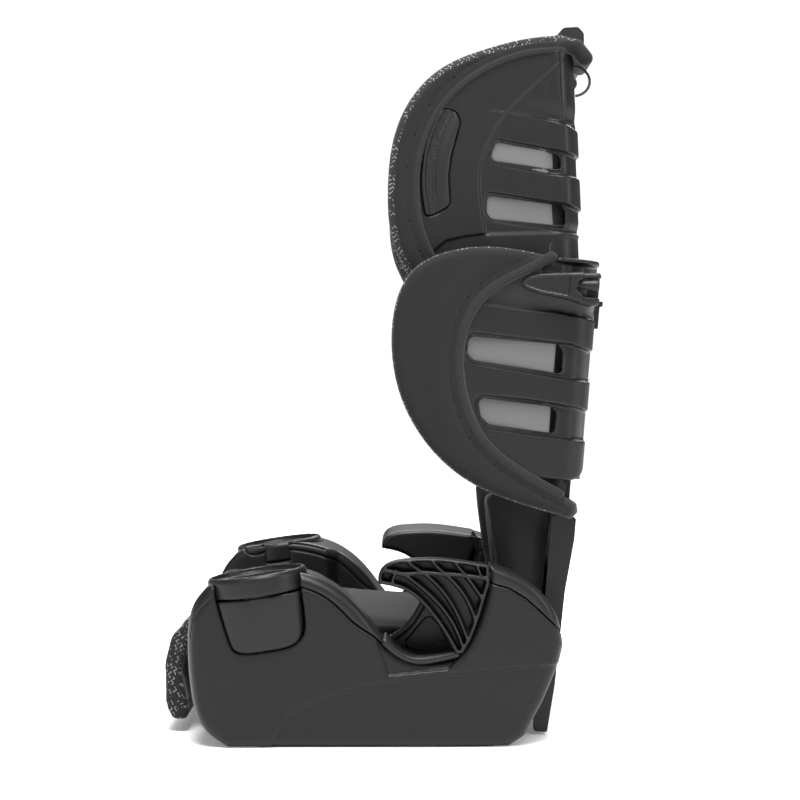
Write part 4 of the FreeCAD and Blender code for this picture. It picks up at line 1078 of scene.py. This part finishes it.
def inflate(made):
    """Lets the pad fill out as a stuffed cloth bag, within PAD_CAP of where it starts."""
    scene = bpy.context.scene
    start = places_of(made)
    settings = made.modifiers.new("stuffing", "CLOTH").settings
    settings.use_pressure = True
    settings.uniform_pressure_force = 4.0
    settings.tension_stiffness = 30
    settings.compression_stiffness = 30
    settings.bending_stiffness = 0.6
    settings.effector_weights.gravity = 0
    for number in range(1, PAD_FRAMES + 1):
        scene.frame_set(number)
    apply_all(made)
    scene.frame_set(1)
    move = places_of(made) - start
    move[:, 1] = np.minimum(move[:, 1], 0)  # the pads stay flat where they rest on what is behind them
    size = np.linalg.norm(move, axis=1, keepdims=True)
    kept = start + move * np.minimum(1, PAD_CAP * MM / np.maximum(size, 1e-9))
    made.data.vertices.foreach_set("co", kept.ravel())
    made.data.update()


def domed(points):
    """The seat cushion's top falls away to both sides and to the rear."""
    fall = 12 + 9 * ramp(points[:, 1], -110, 30) + 6 * (points[:, 0] / CUSHION_HALF) ** 2
    points[:, 2] -= fall * np.clip((points[:, 2] - 92) / 38, 0, 1)
    return points


def stuffed(node_name, name, body, shape=None):
    made = cushion_copy(node_name, name)
    remesh = made.modifiers.new("even", "REMESH")
    remesh.mode = "VOXEL"
    remesh.voxel_size = PAD_VOXEL * MM
    apply_all(made)
    inflate(made)
    smoothing = made.modifiers.new("smooth", "SMOOTH")
    smoothing.iterations = 3
    finer = made.modifiers.new("finer", "SUBSURF")
    finer.levels = 1
    finer.render_levels = 1
    apply_all(made)
    made.data.polygons.foreach_set("use_smooth", np.ones(len(made.data.polygons), bool))
    points = places_of(made) / MM
    if shape:
        points = shape(points)
        made.data.vertices.foreach_set("co", (points * MM).ravel())
    add_weave(made, (points[:, 0], points[:, 1] + points[:, 2], np.full(len(points), -1.0)))
    finish_piece(made, body, "seat_fabric", [node_name])


def build_pads():
    stuffed("seat_cushion", "seat_cushion_stuffed", "base", domed)
    stuffed("lower_back_pad", "lower_back_stuffed", "backrest")
    stuffed("torso_back_pad", "torso_back_stuffed", "backrest")


# ---- the CAD parts that show as they are
SHOWN = (  # material, width of its broken edges, and how the names start
    (LOOKS["base_plastic"], 0.6, ("base_shell", "bottom_plate")),
    (LOOKS["shell_plastic"], 0.6, ("lower_back_shell", "back_spine", "headrest_rail")),
    (LOOKS["insert_plastic"], 0.6, ("cover_hook", "adjuster_housing")),
    (LOOKS["latch_plastic"], 0.6, ("height_rack", "adjuster_lever", "release_strip", "rail_guide")),
    (STEEL, 0.15, ("pivot_pin", "plate_screw", "spine_screw", "lever_spring", "latch_bolt")),
    (ELASTIC, 0.1, ("cover_elastic",)))


def finish_cad():
    for material, edge, starts in SHOWN:
        for name, node in NODES.items():
            if name.startswith(starts):
                keep(node, material, edge)


# ---- studio, in metres, watts and degrees
FLOOR_HALF = 30.0
FLOOR_SINK = 0.0005  # keeps the floor just below the base
FLOOR_GREY = 0.93
FLOOR_GLOW = 0.16  # carries the floor to the white of the background
BACKGROUND = 1.1  # the world as the camera sees it
AMBIENT = 0.24  # the world as the object is lit by it
SUN_POWER = 2.6
SUN_WIDTH = 24
SUN_LEAN = 22  # towards the camera
LAMPS = {  # place, target, size and power
    "top": ((0.45, 0.0, 1.9), (0.1, 0.0, 0.3), (0.7, 1.5), 34),
    "back": ((-1.7, 0.1, 1.7), (0.0, 0.0, 0.3), (2.2, 1.0), 50),
    "front": ((1.9, -1.2, 1.3), (0.1, 0.0, 0.3), (0.5, 1.2), 7),
    "upper": ((1.5, 0.5, 1.6), (0.15, 0.08, 0.56), (0.7, 0.7), 16),
    "rear": ((1.0, 2.0, 1.0), (0.1, 0.1, 0.5), (0.5, 1.4), 15)}
CAMERA_PLACE = (2.0, 0.0117, 0.352)
CAMERA_LENS = 87.7
CAMERA_SENSOR = 36
CAMERA_SHIFT = -0.041


def build_floor():
    corners = [(-1, -1), (1, -1), (1, 1), (-1, 1)]
    points = np.array([(a * FLOOR_HALF, b * FLOOR_HALF, -FLOOR_SINK) for a, b in corners])
    floor = mesh_object("floor", points / MM, np.array([[0, 1, 2, 3]]))
    pale = Finish("floor", 0.9, 0.1)
    pale.surface.inputs["Base Color"].default_value = (FLOOR_GREY, FLOOR_GREY, FLOOR_GREY, 1)
    pale.surface.inputs["Emission Color"].default_value = (1, 1, 1, 1)
    pale.surface.inputs["Emission Strength"].default_value = FLOOR_GLOW
    floor.data.materials.append(pale.material)


def build_world():
    """A white world, brighter to the camera than to the object."""
    world = bpy.data.worlds.new("studio")
    world.use_nodes = True
    background = world.node_tree.nodes["Background"]
    background.inputs["Color"].default_value = (1, 1, 1, 1)
    seen = world.node_tree.nodes.new("ShaderNodeLightPath")
    level = world.node_tree.nodes.new("ShaderNodeMath")
    level.operation = "MULTIPLY_ADD"
    level.inputs[1].default_value = BACKGROUND - AMBIENT
    level.inputs[2].default_value = AMBIENT
    world.node_tree.links.new(seen.outputs["Is Camera Ray"], level.inputs[0])
    world.node_tree.links.new(level.outputs[0], background.inputs["Strength"])
    bpy.context.scene.world = world


def build_sun():
    data = bpy.data.lights.new("overhead", "SUN")
    data.energy = SUN_POWER
    data.angle = math.radians(SUN_WIDTH)
    add_object("overhead", data).rotation_euler = (0, math.radians(SUN_LEAN), 0)


def area_light(name, place, target, size, power):
    data = bpy.data.lights.new(name, "AREA")
    data.shape = "RECTANGLE"
    data.size, data.size_y = size
    data.energy = power
    light = add_object(name, data)
    light.location = place
    light.rotation_euler = (Vector(target) - Vector(place)).to_track_quat("-Z", "Y").to_euler()


def build_camera():
    data = bpy.data.cameras.new("camera")
    data.lens = CAMERA_LENS
    data.sensor_width = CAMERA_SENSOR
    data.shift_y = CAMERA_SHIFT
    camera = add_object("camera", data)
    camera.location = CAMERA_PLACE
    camera.rotation_euler = (math.radians(90), 0, math.radians(90))
    bpy.context.scene.camera = camera
    bpy.context.scene.view_settings.view_transform = "Standard"


def build_studio():
    build_floor()
    build_world()
    build_sun()
    for name, settings in LAMPS.items():
        area_light(name, *settings)
    build_camera()


build_backrest()
build_headrest()
build_base()
build_pads()
finish_cad()
build_studio()
